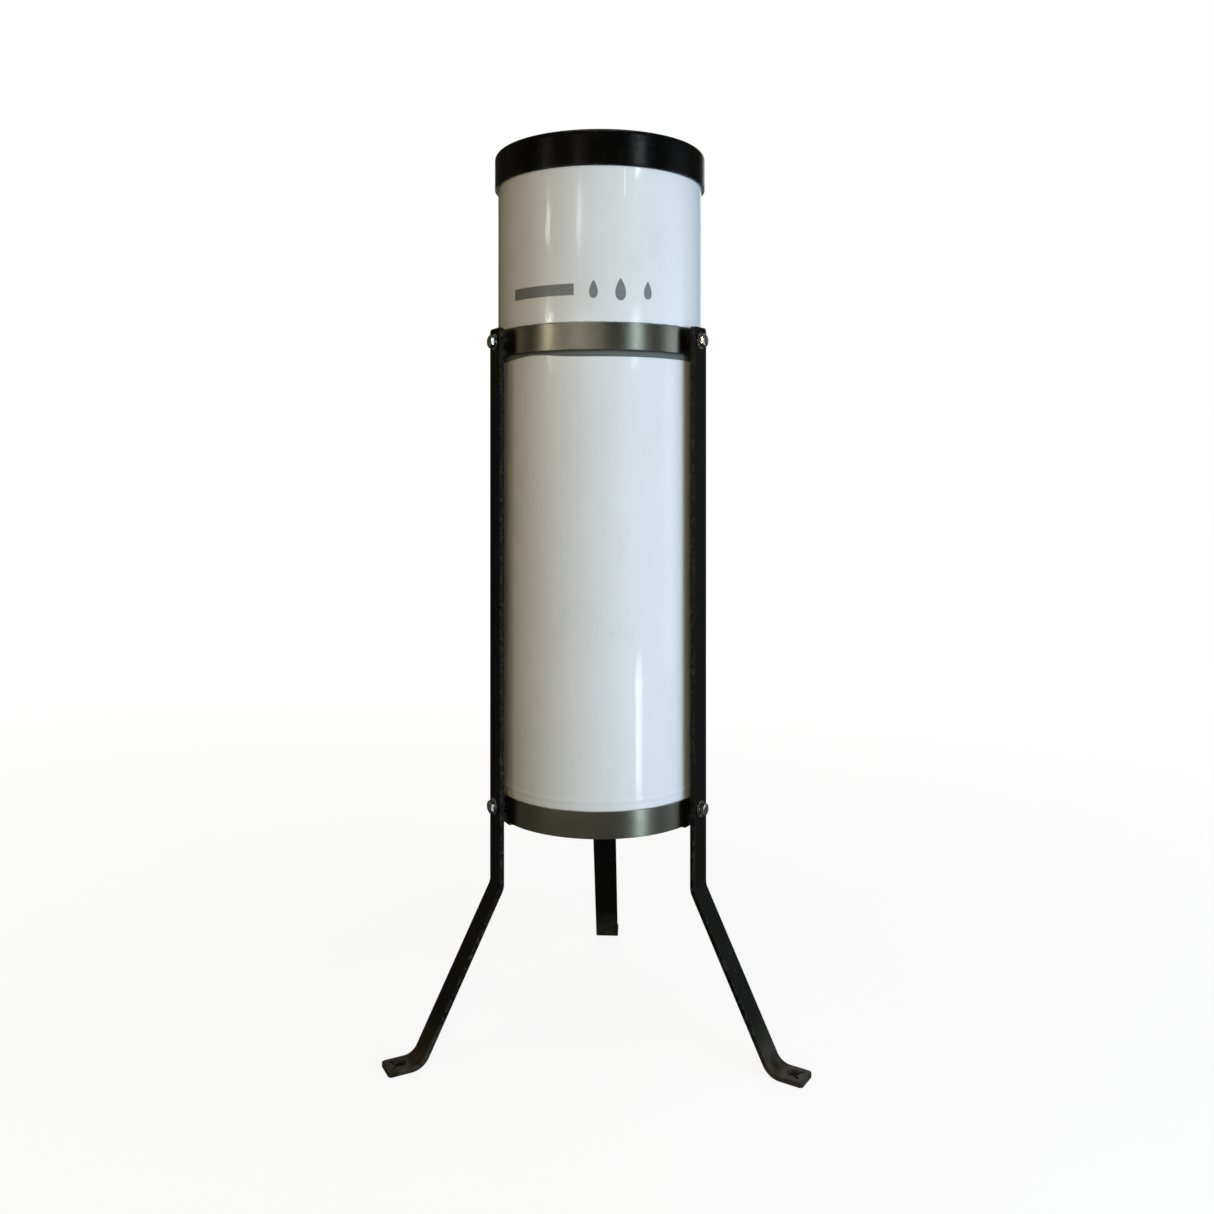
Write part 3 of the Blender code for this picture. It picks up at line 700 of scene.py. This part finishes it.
def bent(before, corner, after, radius, steps=ARC_STEPS):
    """Points and headings of the arc that rounds a corner between two straight runs."""
    into = math.atan2(corner[1] - before[1], corner[0] - before[0])
    out = math.atan2(after[1] - corner[1], after[0] - corner[0])
    turn = (out - into + math.pi) % (2.0 * math.pi) - math.pi
    setback = radius * math.tan(abs(turn) / 2.0)
    side = math.copysign(1.0, turn)
    start = (corner[0] - setback * math.cos(into), corner[1] - setback * math.sin(into))
    centre = (start[0] - side * radius * math.sin(into), start[1] + side * radius * math.cos(into))
    stations = []
    for share in shares(steps):
        heading = into + turn * share
        place = (centre[0] + side * radius * math.sin(heading), centre[1] - side * radius * math.cos(heading))
        stations.append((place, heading))
    return stations


def sheet_profile(path, wall, bends):
    """Outline of a sheet of even thickness whose top follows a path with rounded corners."""
    stations = []
    for index, point in enumerate(path):
        if 0 < index < len(path) - 1:
            stations += bent(path[index - 1], point, path[index + 1], bends[index - 1])
            continue
        start, end = path[:2] if index == 0 else path[-2:]
        stations.append((point, math.atan2(end[1] - start[1], end[0] - start[0])))
    top = [place for place, _ in stations]
    under = [
        (place[0] - wall * math.sin(heading), place[1] + wall * math.cos(heading))
        for place, heading in stations
    ]
    return supported(top, False) + supported(under[::-1], False)


def build_funnel():
    """Spun funnel: flange on the can's lip, cone and neck in one sheet, round a straight spout."""
    outer = radius_of("funnel_cone")
    neck_bottom, flange_top = span("funnel_cone", 2)
    spout_radius = radius_of("funnel_spout")
    bottom, top = span("funnel_spout", 2)
    neck = spout_radius + FIT_GAP
    path = [
        (outer, flange_top), (outer - FUNNEL_FLANGE, flange_top),
        (neck, neck_bottom + NECK_LENGTH), (neck, neck_bottom),
    ]
    profile = sheet_profile(path, FUNNEL_WALL, (FUNNEL_FLANGE_BEND, FUNNEL_NECK_BEND))
    add_piece("funnel_sheet", spin(profile, ROUND_STEPS), "receiver", "white_enamel", "funnel_cone")
    band = rounded_band(spout_radius - SPOUT_WALL, spout_radius, bottom, top, SHEET_EDGE)
    add_piece("funnel_tube", spin(supported(band), SPOUT_STEPS), "receiver", "white_enamel", "funnel_spout")


def patch(radius, azimuth, height, rows):
    """Sheet on the outside of a cylinder from rows of (across, up) points in metres."""
    shape = bmesh.new()
    made = []
    for row in rows:
        made.append([
            shape.verts.new((*polar(radius, azimuth + across / radius), height + up)) for across, up in row
        ])
    for near, far in zip(made, made[1:]):
        for step in range(len(near) - 1):
            shape.faces.new((near[step], near[step + 1], far[step + 1], far[step]))
    return shape


def drop_rows(size):
    """Rows of a rain drop's shape, from its middle line outwards to both sides."""
    rows = []
    for share in shares(DROP_STEPS):
        turn = math.pi * share
        width = size * DROP_WIDTH * math.sin(turn) * math.sin(turn / 2.0) ** 0.9
        up = size * math.cos(turn)
        rows.append([(width * (-1.0 + part / 4.0) + 1e-6 * part, up) for part in range(9)])
    return rows


def build_mark():
    """Plain printed mark: a straight bar and three drops."""
    radius = radius_of("receiver_shell") + MARK_RISE
    height = span("receiver_shell", 2)[0] + MARK_HEIGHT
    start, end = MARK_BAR
    half_length = (end - start) * radius / 2.0
    bar = [
        [(half_length * (2.0 * share - 1.0), MARK_BAR_HALF_HEIGHT * side) for share in shares(MARK_STEPS)]
        for side in (-1.0, -0.5, 0.0, 0.5, 1.0)
    ]
    shape = patch(radius, (start + end) / 2.0, height, bar)
    for azimuth, size in DROPS:
        shape = joined(shape, patch(radius, azimuth, height, drop_rows(size)))
    piece = add_piece("receiver_mark", shape, "receiver", "mark_ink")


# -------- overflow can


def bead(radius):
    """Points of the stiffening bead, bottom to top."""
    points = []
    for share in shares(BEAD_STEPS):
        swell = BEAD_RISE * math.sin(math.pi * share) ** 2
        points.append((radius + swell, BEAD_HEIGHT + BEAD_HALF_LENGTH * (2.0 * share - 1.0)))
    return points


def build_can():
    """Can wall with its bead and rolled lip, pressed pan, and collar for the measuring tube."""
    outer = radius_of("can_shell") - BEAD_RISE
    inner = outer - CAN_WALL
    bottom, top = span("can_shell", 2)
    lip = outer - CAN_LIP_DEPTH
    profile = [
        (inner, bottom + SHEET_EDGE), (inner + SHEET_EDGE, bottom),
        (outer - SHEET_EDGE, bottom), (outer, bottom + SHEET_EDGE),
        *bead(outer),
        *arc((outer - CAN_LIP_RADIUS, top - CAN_LIP_RADIUS), CAN_LIP_RADIUS, 0.0, QUARTER),
        *arc((lip + CAN_LIP_RADIUS, top - CAN_LIP_RADIUS), CAN_LIP_RADIUS, QUARTER, 2.0 * QUARTER),
        (lip, top - CAN_LIP_DEPTH),
        (inner, top - CAN_LIP_DEPTH),
        *bead(inner)[::-1],
    ]
    add_piece("can_wall", spin(supported(profile), ROUND_STEPS), "can", "white_enamel", "can_shell")
    build_pan()
    build_locator()


def build_pan():
    """Pressed pan with an upturned flange."""
    outer = radius_of("can_bottom")
    inner = outer - PAN_WALL
    bottom, top = span("can_bottom", 2)
    centre = (outer - PAN_CORNER, bottom + PAN_CORNER)
    profile = [
        (0.0, bottom), (PAN_MIDDLE_RADIUS, bottom),
        *arc(centre, PAN_CORNER, -QUARTER, 0.0),
        (outer, top - SHEET_EDGE), (outer - SHEET_EDGE, top),
        (inner + SHEET_EDGE, top), (inner, top - SHEET_EDGE),
        *arc(centre, PAN_CORNER - PAN_WALL, 0.0, -QUARTER),
        (PAN_MIDDLE_RADIUS, bottom + PAN_WALL), (0.0, bottom + PAN_WALL),
    ]
    shape = spin(supported(profile, False), ROUND_STEPS, closed=False)
    add_piece("can_pan", shape, "can", "white_enamel", "can_bottom")


def build_locator():
    """Flanged collar round the foot of the measuring tube."""
    outer = radius_of("tube_locator")
    bore = outer - LOCATOR_FLANGE
    bottom, top = span("tube_locator", 2)
    wall = bore + LOCATOR_WALL
    flange_top = bottom + LOCATOR_WALL
    profile = [
        (bore, bottom), (outer - SMALL_EDGE, bottom), (outer, bottom + SMALL_EDGE),
        (outer, flange_top - SMALL_EDGE), (outer - SMALL_EDGE, flange_top),
        *arc((wall + LOCATOR_FILLET, flange_top + LOCATOR_FILLET), LOCATOR_FILLET, -QUARTER, -2.0 * QUARTER),
        (wall, top - SMALL_EDGE), (wall - SMALL_EDGE, top),
        (bore + SMALL_EDGE, top), (bore, top - SMALL_EDGE),
    ]
    add_piece("tube_collar", spin(supported(profile), TUBE_STEPS), "can", "white_enamel", "tube_locator")


# -------- measuring tube


def build_measuring_tube():
    """Clear tube with eased rims on a stepped plastic base."""
    outer = radius_of("measuring_tube")
    inner = outer - TUBE_WALL
    bottom, top = span("measuring_tube", 2)
    shape = spin(supported(rounded_band(inner, outer, bottom, top, TUBE_EDGE)), TUBE_STEPS)
    add_piece("clear_tube", shape, "measuring_tube_unit", "clear_tube", "measuring_tube")
    foot, boss_top = span("tube_base", 2)
    shoulder = foot + BASE_SHOULDER
    boss = inner - FIT_GAP
    wide = radius_of("tube_base")
    profile = [
        (0.0, foot), (wide - BASE_EDGE, foot), (wide, foot + BASE_EDGE), (wide, shoulder - BASE_EDGE),
        (wide - BASE_EDGE, shoulder), (boss, shoulder), (boss, boss_top - BASE_EDGE),
        (boss - BASE_EDGE, boss_top), (0.0, boss_top),
    ]
    shape = spin(supported(profile, False), TUBE_STEPS, closed=False)
    add_piece("tube_plug", shape, "measuring_tube_unit", "base_plastic", "tube_base")


# -------- stand


def build_rings():
    """Two rolled bands, each closed by a butt weld at the back."""
    for level in LEVELS:
        node = f"{level}_ring"
        outer = radius_of(node)
        bottom, top = span(node, 2)
        band = spin(supported(rounded_band(outer - RING_WALL, outer, bottom, top, RING_EDGE)), ROUND_STEPS)
        ends = (bottom + FIT_GAP, top - FIT_GAP)
        weld = ridge(outer, RING_WELD_AZIMUTH, *ends, WELD_HALF_WIDTH, WELD_RISE, ripple=0.35)
        add_piece(f"{level}_band", joined(band, weld), "stand", "ring_steel", node)


def build_liner():
    """Thin strip inside the upper ring, split once at the back, its lower edge hitched up at one place."""
    outer = radius_of("ring_liner")
    bottom, top = span("ring_liner", 2)
    start = LINER_SPLIT_AZIMUTH + LINER_SPLIT_WIDTH / 2.0
    loops = []
    for share in shares(ROUND_STEPS):
        turn = start + (math.tau - LINER_SPLIT_WIDTH) * share
        from_hitch = (turn - LINER_HITCH_AZIMUTH) / LINER_HITCH_REACH
        low = bottom + LINER_HITCH_RISE * math.exp(-(from_hitch ** 2))
        profile = supported(rounded_band(outer - LINER_WALL, outer, low, top, LINER_EDGE))
        loops.append([(*polar(radius, turn), height) for radius, height in profile])
    add_piece("liner_strip", loft(loops), "stand", "liner_grey", "ring_liner")


def leg_path():
    """Leg's mid-thickness line as (distance along it, point, heading), top to toe."""
    half = LEG_THICKNESS / 2.0
    inner, toe_reach = span("leg_rear", 1)
    floor, top_height = span("leg_rear", 2)
    top = (inner + half, top_height)
    bend = (inner + half, LEG_BEND_HEIGHT)
    heel = (HEEL_RADIUS, floor + half)
    toe = (toe_reach, floor + half)
    stations = [(top, -QUARTER)]
    stations += bent(top, bend, heel, LEG_BEND_RADIUS, LEG_BEND_STEPS)
    stations += bent(bend, heel, toe, HEEL_BEND_RADIUS, LEG_BEND_STEPS)
    stations.append((toe, 0.0))
    path, gone, before = [], 0.0, top
    for place, heading in stations:
        gone += math.dist(before, place)
        path.append((gone, place, heading))
        before = place
    return path


def at_distance(path, gone, off):
    """Point of (radius, height) a distance along the path and off to the side its normal points to."""
    for (start, first, turn), (end, second, turned_to) in zip(path, path[1:]):
        if gone <= end + 1e-9:
            break
    share = (gone - start) / (end - start)
    heading = turn + (turned_to - turn) * share
    middle = (first[0] + (second[0] - first[0]) * share, first[1] + (second[1] - first[1]) * share)
    return (middle[0] - off * math.sin(heading), middle[1] + off * math.cos(heading))


def bar_outline(length, width, corner, marks):
    """Rounded outline of a flat bar as (point, inward normal), with points at the marks on its long sides."""
    half = width / 2.0
    loop = []
    for end, side, quadrant in ((0, -1, 2), (1, -1, 3), (1, 1, 0), (0, 1, 1)):
        centre = (length - corner if end else corner, side * (half - corner))
        for share in shares(ARC_STEPS):
            away = polar(1.0, QUARTER * (quadrant + share))
            loop.append(((centre[0] + corner * away[0], centre[1] + corner * away[1]), (-away[0], -away[1])))
        if (end, side) == (0, -1):
            loop += [((mark, -half), (0.0, 1.0)) for mark in marks]
        if (end, side) == (1, 1):
            loop += [((mark, half), (0.0, -1.0)) for mark in marks[::-1]]
    return loop


def hole_outline(centre, radius):
    """Round hole as (point, normal away from the hole)."""
    normals = [polar(1.0, turn) for turn in around(HOLE_STEPS)]
    return [((centre[0] + radius * x, centre[1] + radius * y), (x, y)) for x, y in normals]


def plate(outline, holes, thickness, edge, marks):
    """Flat plate with rounded edges and (centre, radius) holes: X along it, Y across it, Z through it."""
    shape = bmesh.new()
    half = thickness / 2.0
    turns = [QUARTER * share for share in shares(PLATE_EDGE_STEPS)]
    steps = [(edge + SUPPORT, half)]
    steps += [(edge - edge * math.sin(turn), half - edge + edge * math.cos(turn)) for turn in turns]
    steps += [(inset, -up) for inset, up in steps[::-1]]
    tops, bottoms, flat, index = [], [], [], 0
    constraints = []
    for loop in (outline, *(hole_outline(*hole) for hole in holes)):
        rows = []
        for inset, up in steps:
            rows.append([
                shape.verts.new((point[0] + inset * away[0], point[1] + inset * away[1], up))
                for point, away in loop
            ])
        bridge(shape, rows)
        tops += rows[0]
        bottoms += rows[-1]
        flat += [vertex.co.to_2d() for vertex in rows[0]]
        constraints += [(index + step, index + (step + 1) % len(loop)) for step in range(len(loop))]
        index += len(loop)
    constraints += crossings(flat[:len(outline)], marks)
    fill(shape, tops, bottoms, flat, constraints, holes)
    mark_edges(shape)
    return shape


def crossings(outline, marks):
    """Pairs of outline points that face each other across the plate at the marks."""
    pairs = []
    for mark in marks:
        found = [number for number, point in enumerate(outline) if abs(point[0] - mark) < 1e-7]
        pairs.append((found[0], found[-1]))
    return pairs


def fill(shape, tops, bottoms, flat, constraints, holes):
    """Triangulate the plate's two flat faces between its outline and its holes."""
    _, _, triangles, origins, _, _ = geometry.delaunay_2d_cdt(flat, constraints, [], 0, 1e-9)
    for triangle in triangles:
        corners = [origins[corner][0] for corner in triangle]
        middle = sum((flat[corner] for corner in corners), Vector((0.0, 0.0))) / 3.0
        if any((middle - Vector(centre)).length < radius for centre, radius in holes):
            continue
        shape.faces.new([tops[corner] for corner in corners])
        shape.faces.new([bottoms[corner] for corner in corners[::-1]])


def leg_shape():
    """One bent flat bar with its two bolt holes and its foot hole, in the plane of +X and Z."""
    path = leg_path()
    length = path[-1][0]
    top_height = span("leg_rear", 2)[1]
    marks = [gone for gone, _, _ in path[1:-1]]
    holes = [((top_height - bolt_height(level), 0.0), BOLT_HOLE_RADIUS) for level in LEVELS]
    holes.append(((length - FOOT_HOLE_FROM_TOE, 0.0), FOOT_HOLE_RADIUS))
    outline = bar_outline(length, LEG_WIDTH, LEG_CORNER, marks)
    shape = plate(outline, holes, LEG_THICKNESS, LEG_EDGE, marks)
    for vertex in shape.verts:
        along, across, off = vertex.co
        reach, height = at_distance(path, along, off)
        vertex.co = (reach, across, height)
    return shape


def build_legs(azimuths):
    """Three equal bent bars."""
    for side in SIDES:
        shape = turned(leg_shape(), azimuths[side])
        add_piece(f"bent_leg_{side}", shape, "stand", "black_coat", f"leg_{side}")


def build_rests(azimuths):
    """Flat lugs with rounded inner corners under the can's edge."""
    inner, outer = span("can_rest_rear", 1)
    bottom, top = span("can_rest_rear", 2)
    width = span("can_rest_rear", 0)[1] * 2.0
    outline = bar_outline(outer - inner, width, REST_CORNER, [])
    flip = Matrix.Translation((outer, 0.0, (bottom + top) / 2.0)) @ Matrix.Rotation(math.pi, 4, "Z")
    for side in SIDES:
        shape = plate(outline, [], top - bottom, REST_EDGE, [])
        bmesh.ops.transform(shape, matrix=flip, verts=shape.verts)
        shape = turned(shape, azimuths[side])
        add_piece(f"rest_lug_{side}", shape, "stand", "ring_steel", f"can_rest_{side}")


# -------- hardware, along +X from its inner end


def circle(radius, reach):
    """Round loop at a distance along +X."""
    return [(reach, *polar(radius, turn)) for turn in around(HEX_STEPS)]


def hexagon(reach, chamfered=False):
    """Hexagonal loop at a distance along +X. A chamfer drops its points towards the corners."""
    loop = []
    for turn in around(HEX_STEPS):
        from_flat = (turn + math.pi / 6.0) % (math.pi / 3.0) - math.pi / 6.0
        radius = HEX_FLATS / 2.0 / math.cos(from_flat)
        drop = (radius - HEAD_FACE_RADIUS) * HEX_SLOPE if chamfered else 0.0
        loop.append((reach - drop, *polar(radius, turn)))
    return loop


def bolt_shape():
    """Hex-head bolt with a rolled thread, its head chamfered round a flat face."""
    tip, crown = span("bolt_upper_rear", 1)
    head = crown - HEAD_HEIGHT
    rows = int((head - tip) / THREAD_PITCH * THREAD_STEPS)
    loops = []
    for row, share in enumerate(shares(rows)):
        reach = tip + (head - tip) * share
        taper = 1.0 - THREAD_LEAD_SHARE * max(0.0, 1.0 - row / THREAD_LEAD_ROWS)
        loop = []
        for step, turn in enumerate(around(HEX_STEPS)):
            phase = (reach / THREAD_PITCH + step / HEX_STEPS) % 1.0
            radius = (BOLT_RADIUS - THREAD_DEPTH * abs(2.0 * phase - 1.0)) * taper
            loop.append((reach, *polar(radius, turn)))
        loops.append(loop)
    loops += [
        circle(BOLT_RADIUS, head), circle(HEX_FLATS / 2.0 - SMALL_EDGE, head), hexagon(head + HEAD_SEAT_RISE),
        hexagon(crown, True), circle(HEAD_FACE_RADIUS, crown), circle(HEAD_FACE_RADIUS - SMALL_EDGE, crown),
        *(circle(HEAD_FACE_RADIUS - inset, crown - depth) for inset, depth in HEAD_DISH),
    ]
    return loft(loops)


def nut_shape():
    """Hex nut chamfered at its outer end, with the weld fillet that ties it to the ring."""
    inner, outer = span("weld_nut_upper_rear", 1)
    nut = loft([
        circle(BORE_RADIUS, inner), hexagon(inner), hexagon(outer, True), circle(HEAD_FACE_RADIUS, outer),
        circle(BORE_RADIUS + SMALL_EDGE, outer), circle(BORE_RADIUS, outer - SMALL_EDGE),
    ], closed=True)
    base = hexagon(inner)
    loops = []
    for share in shares(NUT_WELD_STEPS):
        out, along = polar(1.0, QUARTER * share)
        loop = []
        for step, (_, across, up) in enumerate(base):
            ripple = 1.0 + 0.16 * math.sin(step * 1.3) + 0.10 * math.sin(step * 2.9)
            spread = 1.0 + NUT_WELD_WIDTH * ripple * out / math.hypot(across, up)
            reach = inner - NUT_WELD_SINK + (NUT_WELD_WIDTH + NUT_WELD_SINK) * along * ripple
            loop.append((reach, across * spread, up * spread))
        loops.append(loop)
    return joined(nut, loft(loops))


def washer_shape():
    """Flat washer with stamped, slightly rounded edges."""
    inner, outer = span("washer_upper_rear", 1)
    section = rounded_band(BORE_RADIUS, WASHER_RADIUS, inner, outer, WASHER_EDGE)
    return loft([circle(radius, reach) for radius, reach in section], closed=True)


def lock_washer_shape():
    """Split spring washer wound into one slightly rising turn."""
    foot, top = span("lock_washer_upper_rear", 1)
    thickness = top - foot - LOCK_RISE
    loops = []
    for share in shares(HEX_STEPS):
        turn = QUARTER + LOCK_OPENING / 2.0 + (math.tau - LOCK_OPENING) * share
        low = foot + LOCK_RISE * share
        section = rounded_band(BORE_RADIUS, LOCK_RADIUS, low, low + thickness, LOCK_EDGE)
        loops.append([(reach, *polar(radius, turn)) for radius, reach in section])
    return loft(loops)


def build_hardware(azimuths):
    """A bolt, two washers and a weld nut at each crossing of a leg and a ring."""
    kinds = (
        ("hex_bolt", "bolt", bolt_shape, "zinc"),
        ("flat_washer", "washer", washer_shape, "zinc"),
        ("spring_washer", "lock_washer", lock_washer_shape, "zinc"),
        ("ring_nut", "weld_nut", nut_shape, "black_coat"),
    )
    for name, node, make, finish in kinds:
        for level in LEVELS:
            for side in SIDES:
                shape = turned(make(), azimuths[side], bolt_height(level))
                add_piece(f"{name}_{level}_{side}", shape, "stand", finish, f"{node}_{level}_{side}")


# -------- studio


def soften(data):
    """Fade a light towards its borders, so that glossy pieces show no hard edge of it."""
    data.use_nodes = True
    tree = data.node_tree
    add, link = tree.nodes.new, tree.links.new
    parts = add("ShaderNodeSeparateXYZ")
    link(add("ShaderNodeNewGeometry").outputs["Parametric"], parts.inputs["Vector"])
    strength = add("ShaderNodeValue").outputs["Value"]
    strength.default_value = 1.0 / (1.0 - LIGHT_FADE) ** 2
    for axis in ("X", "Y"):
        for ends in ((0.0, LIGHT_FADE), (1.0, 1.0 - LIGHT_FADE)):
            border = add("ShaderNodeMapRange")
            border.interpolation_type = "SMOOTHSTEP"
            border.inputs["From Min"].default_value, border.inputs["From Max"].default_value = ends
            product = add("ShaderNodeMath")
            product.operation = "MULTIPLY"
            link(parts.outputs[axis], border.inputs["Value"])
            link(border.outputs["Result"], product.inputs[0])
            link(strength, product.inputs[1])
            strength = product.outputs["Value"]
    link(strength, tree.nodes["Emission"].inputs["Strength"])


def add_light(name, azimuth, distance, height, size, power, color, middle):
    """Soft rectangular light turned towards the gauge's middle, or level."""
    data = bpy.data.lights.new(name, "AREA")
    data.shape = "RECTANGLE"
    data.size, data.size_y = size
    data.energy = power
    data.color = color
    soften(data)
    light = bpy.data.objects.new(name, data)
    turn = math.radians(azimuth)
    light.location = (distance * math.sin(turn), -distance * math.cos(turn), middle + height)
    aim = Vector((0.0, 0.0, middle + height if name in LEVEL_LIGHTS else middle))
    light.rotation_euler = (aim - light.location).to_track_quat("-Z", "Y").to_euler()
    light.visible_camera = False
    light.visible_glossy = name not in UNMIRRORED_LIGHTS
    light.visible_diffuse = name not in MIRRORED_ONLY_LIGHTS
    bpy.context.collection.objects.link(light)


def make_lights(box):
    """Cool key from the right, warm light from the front and left, and small lights that make the glints."""
    lowest, highest = box
    for light in LIGHTS:
        add_light(*light, (lowest[2] + highest[2]) / 2.0)


def camera_only(tree):
    """Whether the ray comes straight from the camera."""
    return tree.nodes.new("ShaderNodeLightPath").outputs["Is Camera Ray"]


def make_world():
    """Even white behind the gauge for the camera, and a dim warm room for everything else."""
    world = bpy.data.worlds.new("studio")
    world.use_nodes = True
    bpy.context.scene.world = world
    tree = world.node_tree
    background = tree.nodes["Background"]
    mix = tree.nodes.new("ShaderNodeMix")
    mix.data_type = "RGBA"
    mix.inputs["A"].default_value = (0.047, 0.042, 0.030, 1.0)
    mix.inputs["B"].default_value = (1.0, 1.0, 1.0, 1.0)
    tree.links.new(camera_only(tree), mix.inputs["Factor"])
    tree.links.new(mix.outputs["Result"], background.inputs["Color"])


def make_floor(box):
    """Plain pale floor that fades into the white behind it."""
    shape = bmesh.new()
    bmesh.ops.create_circle(shape, cap_ends=True, segments=96, radius=FLOOR_RADIUS)
    bmesh.ops.translate(shape, verts=shape.verts, vec=(0.0, 0.0, box[0][2] - FLOOR_GAP))
    mesh = bpy.data.meshes.new("floor")
    shape.to_mesh(mesh)
    shape.free()
    graph = Graph("floor", specular=0.1)
    surface = graph.surface
    surface.inputs["Emission Color"].default_value = (1.0, 1.0, 1.0, 1.0)
    distance = graph.add("ShaderNodeVectorMath", operation="LENGTH")
    graph.feed(distance.inputs[0], graph.place)
    glow = graph.ramp(distance.outputs["Value"], *FLOOR_GLOW_REACH, *FLOOR_GLOW)
    graph.feed(surface.inputs["Emission Strength"], graph.calc("MULTIPLY", glow, camera_only(graph.tree)))
    tone = graph.blend(graph.noise(6.0), (0.16, 0.16, 0.155), (0.14, 0.14, 0.135))
    mesh.materials.append(graph.paint(tone, 0.9))
    floor = bpy.data.objects.new("floor", mesh)
    bpy.context.collection.objects.link(floor)


def make_camera(box):
    """Level camera in front of the gauge, nearly square to it, its view shifted down to the whole gauge."""
    lowest, highest = box
    overall = highest[2] - lowest[2]
    data = bpy.data.cameras.new("camera")
    data.lens = CAMERA_LENS
    data.shift_x, data.shift_y = CAMERA_SHIFT
    camera = bpy.data.objects.new("camera", data)
    reach = CAMERA_DISTANCE * overall
    camera.location = (
        reach * math.sin(CAMERA_YAW), -reach * math.cos(CAMERA_YAW), lowest[2] + CAMERA_HEIGHT * overall,
    )
    camera.rotation_euler = (math.pi / 2.0, 0.0, CAMERA_YAW)
    bpy.context.collection.objects.link(camera)
    bpy.context.scene.camera = camera


def main():
    """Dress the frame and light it."""
    cad_box = [list(corner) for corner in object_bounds()]
    azimuths = leg_azimuths()
    make_finishes()
    build_rim()
    build_shell()
    build_funnel()
    build_mark()
    build_can()
    build_measuring_tube()
    build_rings()
    build_liner()
    build_legs(azimuths)
    build_rests(azimuths)
    build_hardware(azimuths)
    make_lights(cad_box)
    make_world()
    make_floor(cad_box)
    make_camera(cad_box)
    bpy.context.scene.view_settings.view_transform = "Standard"


main()
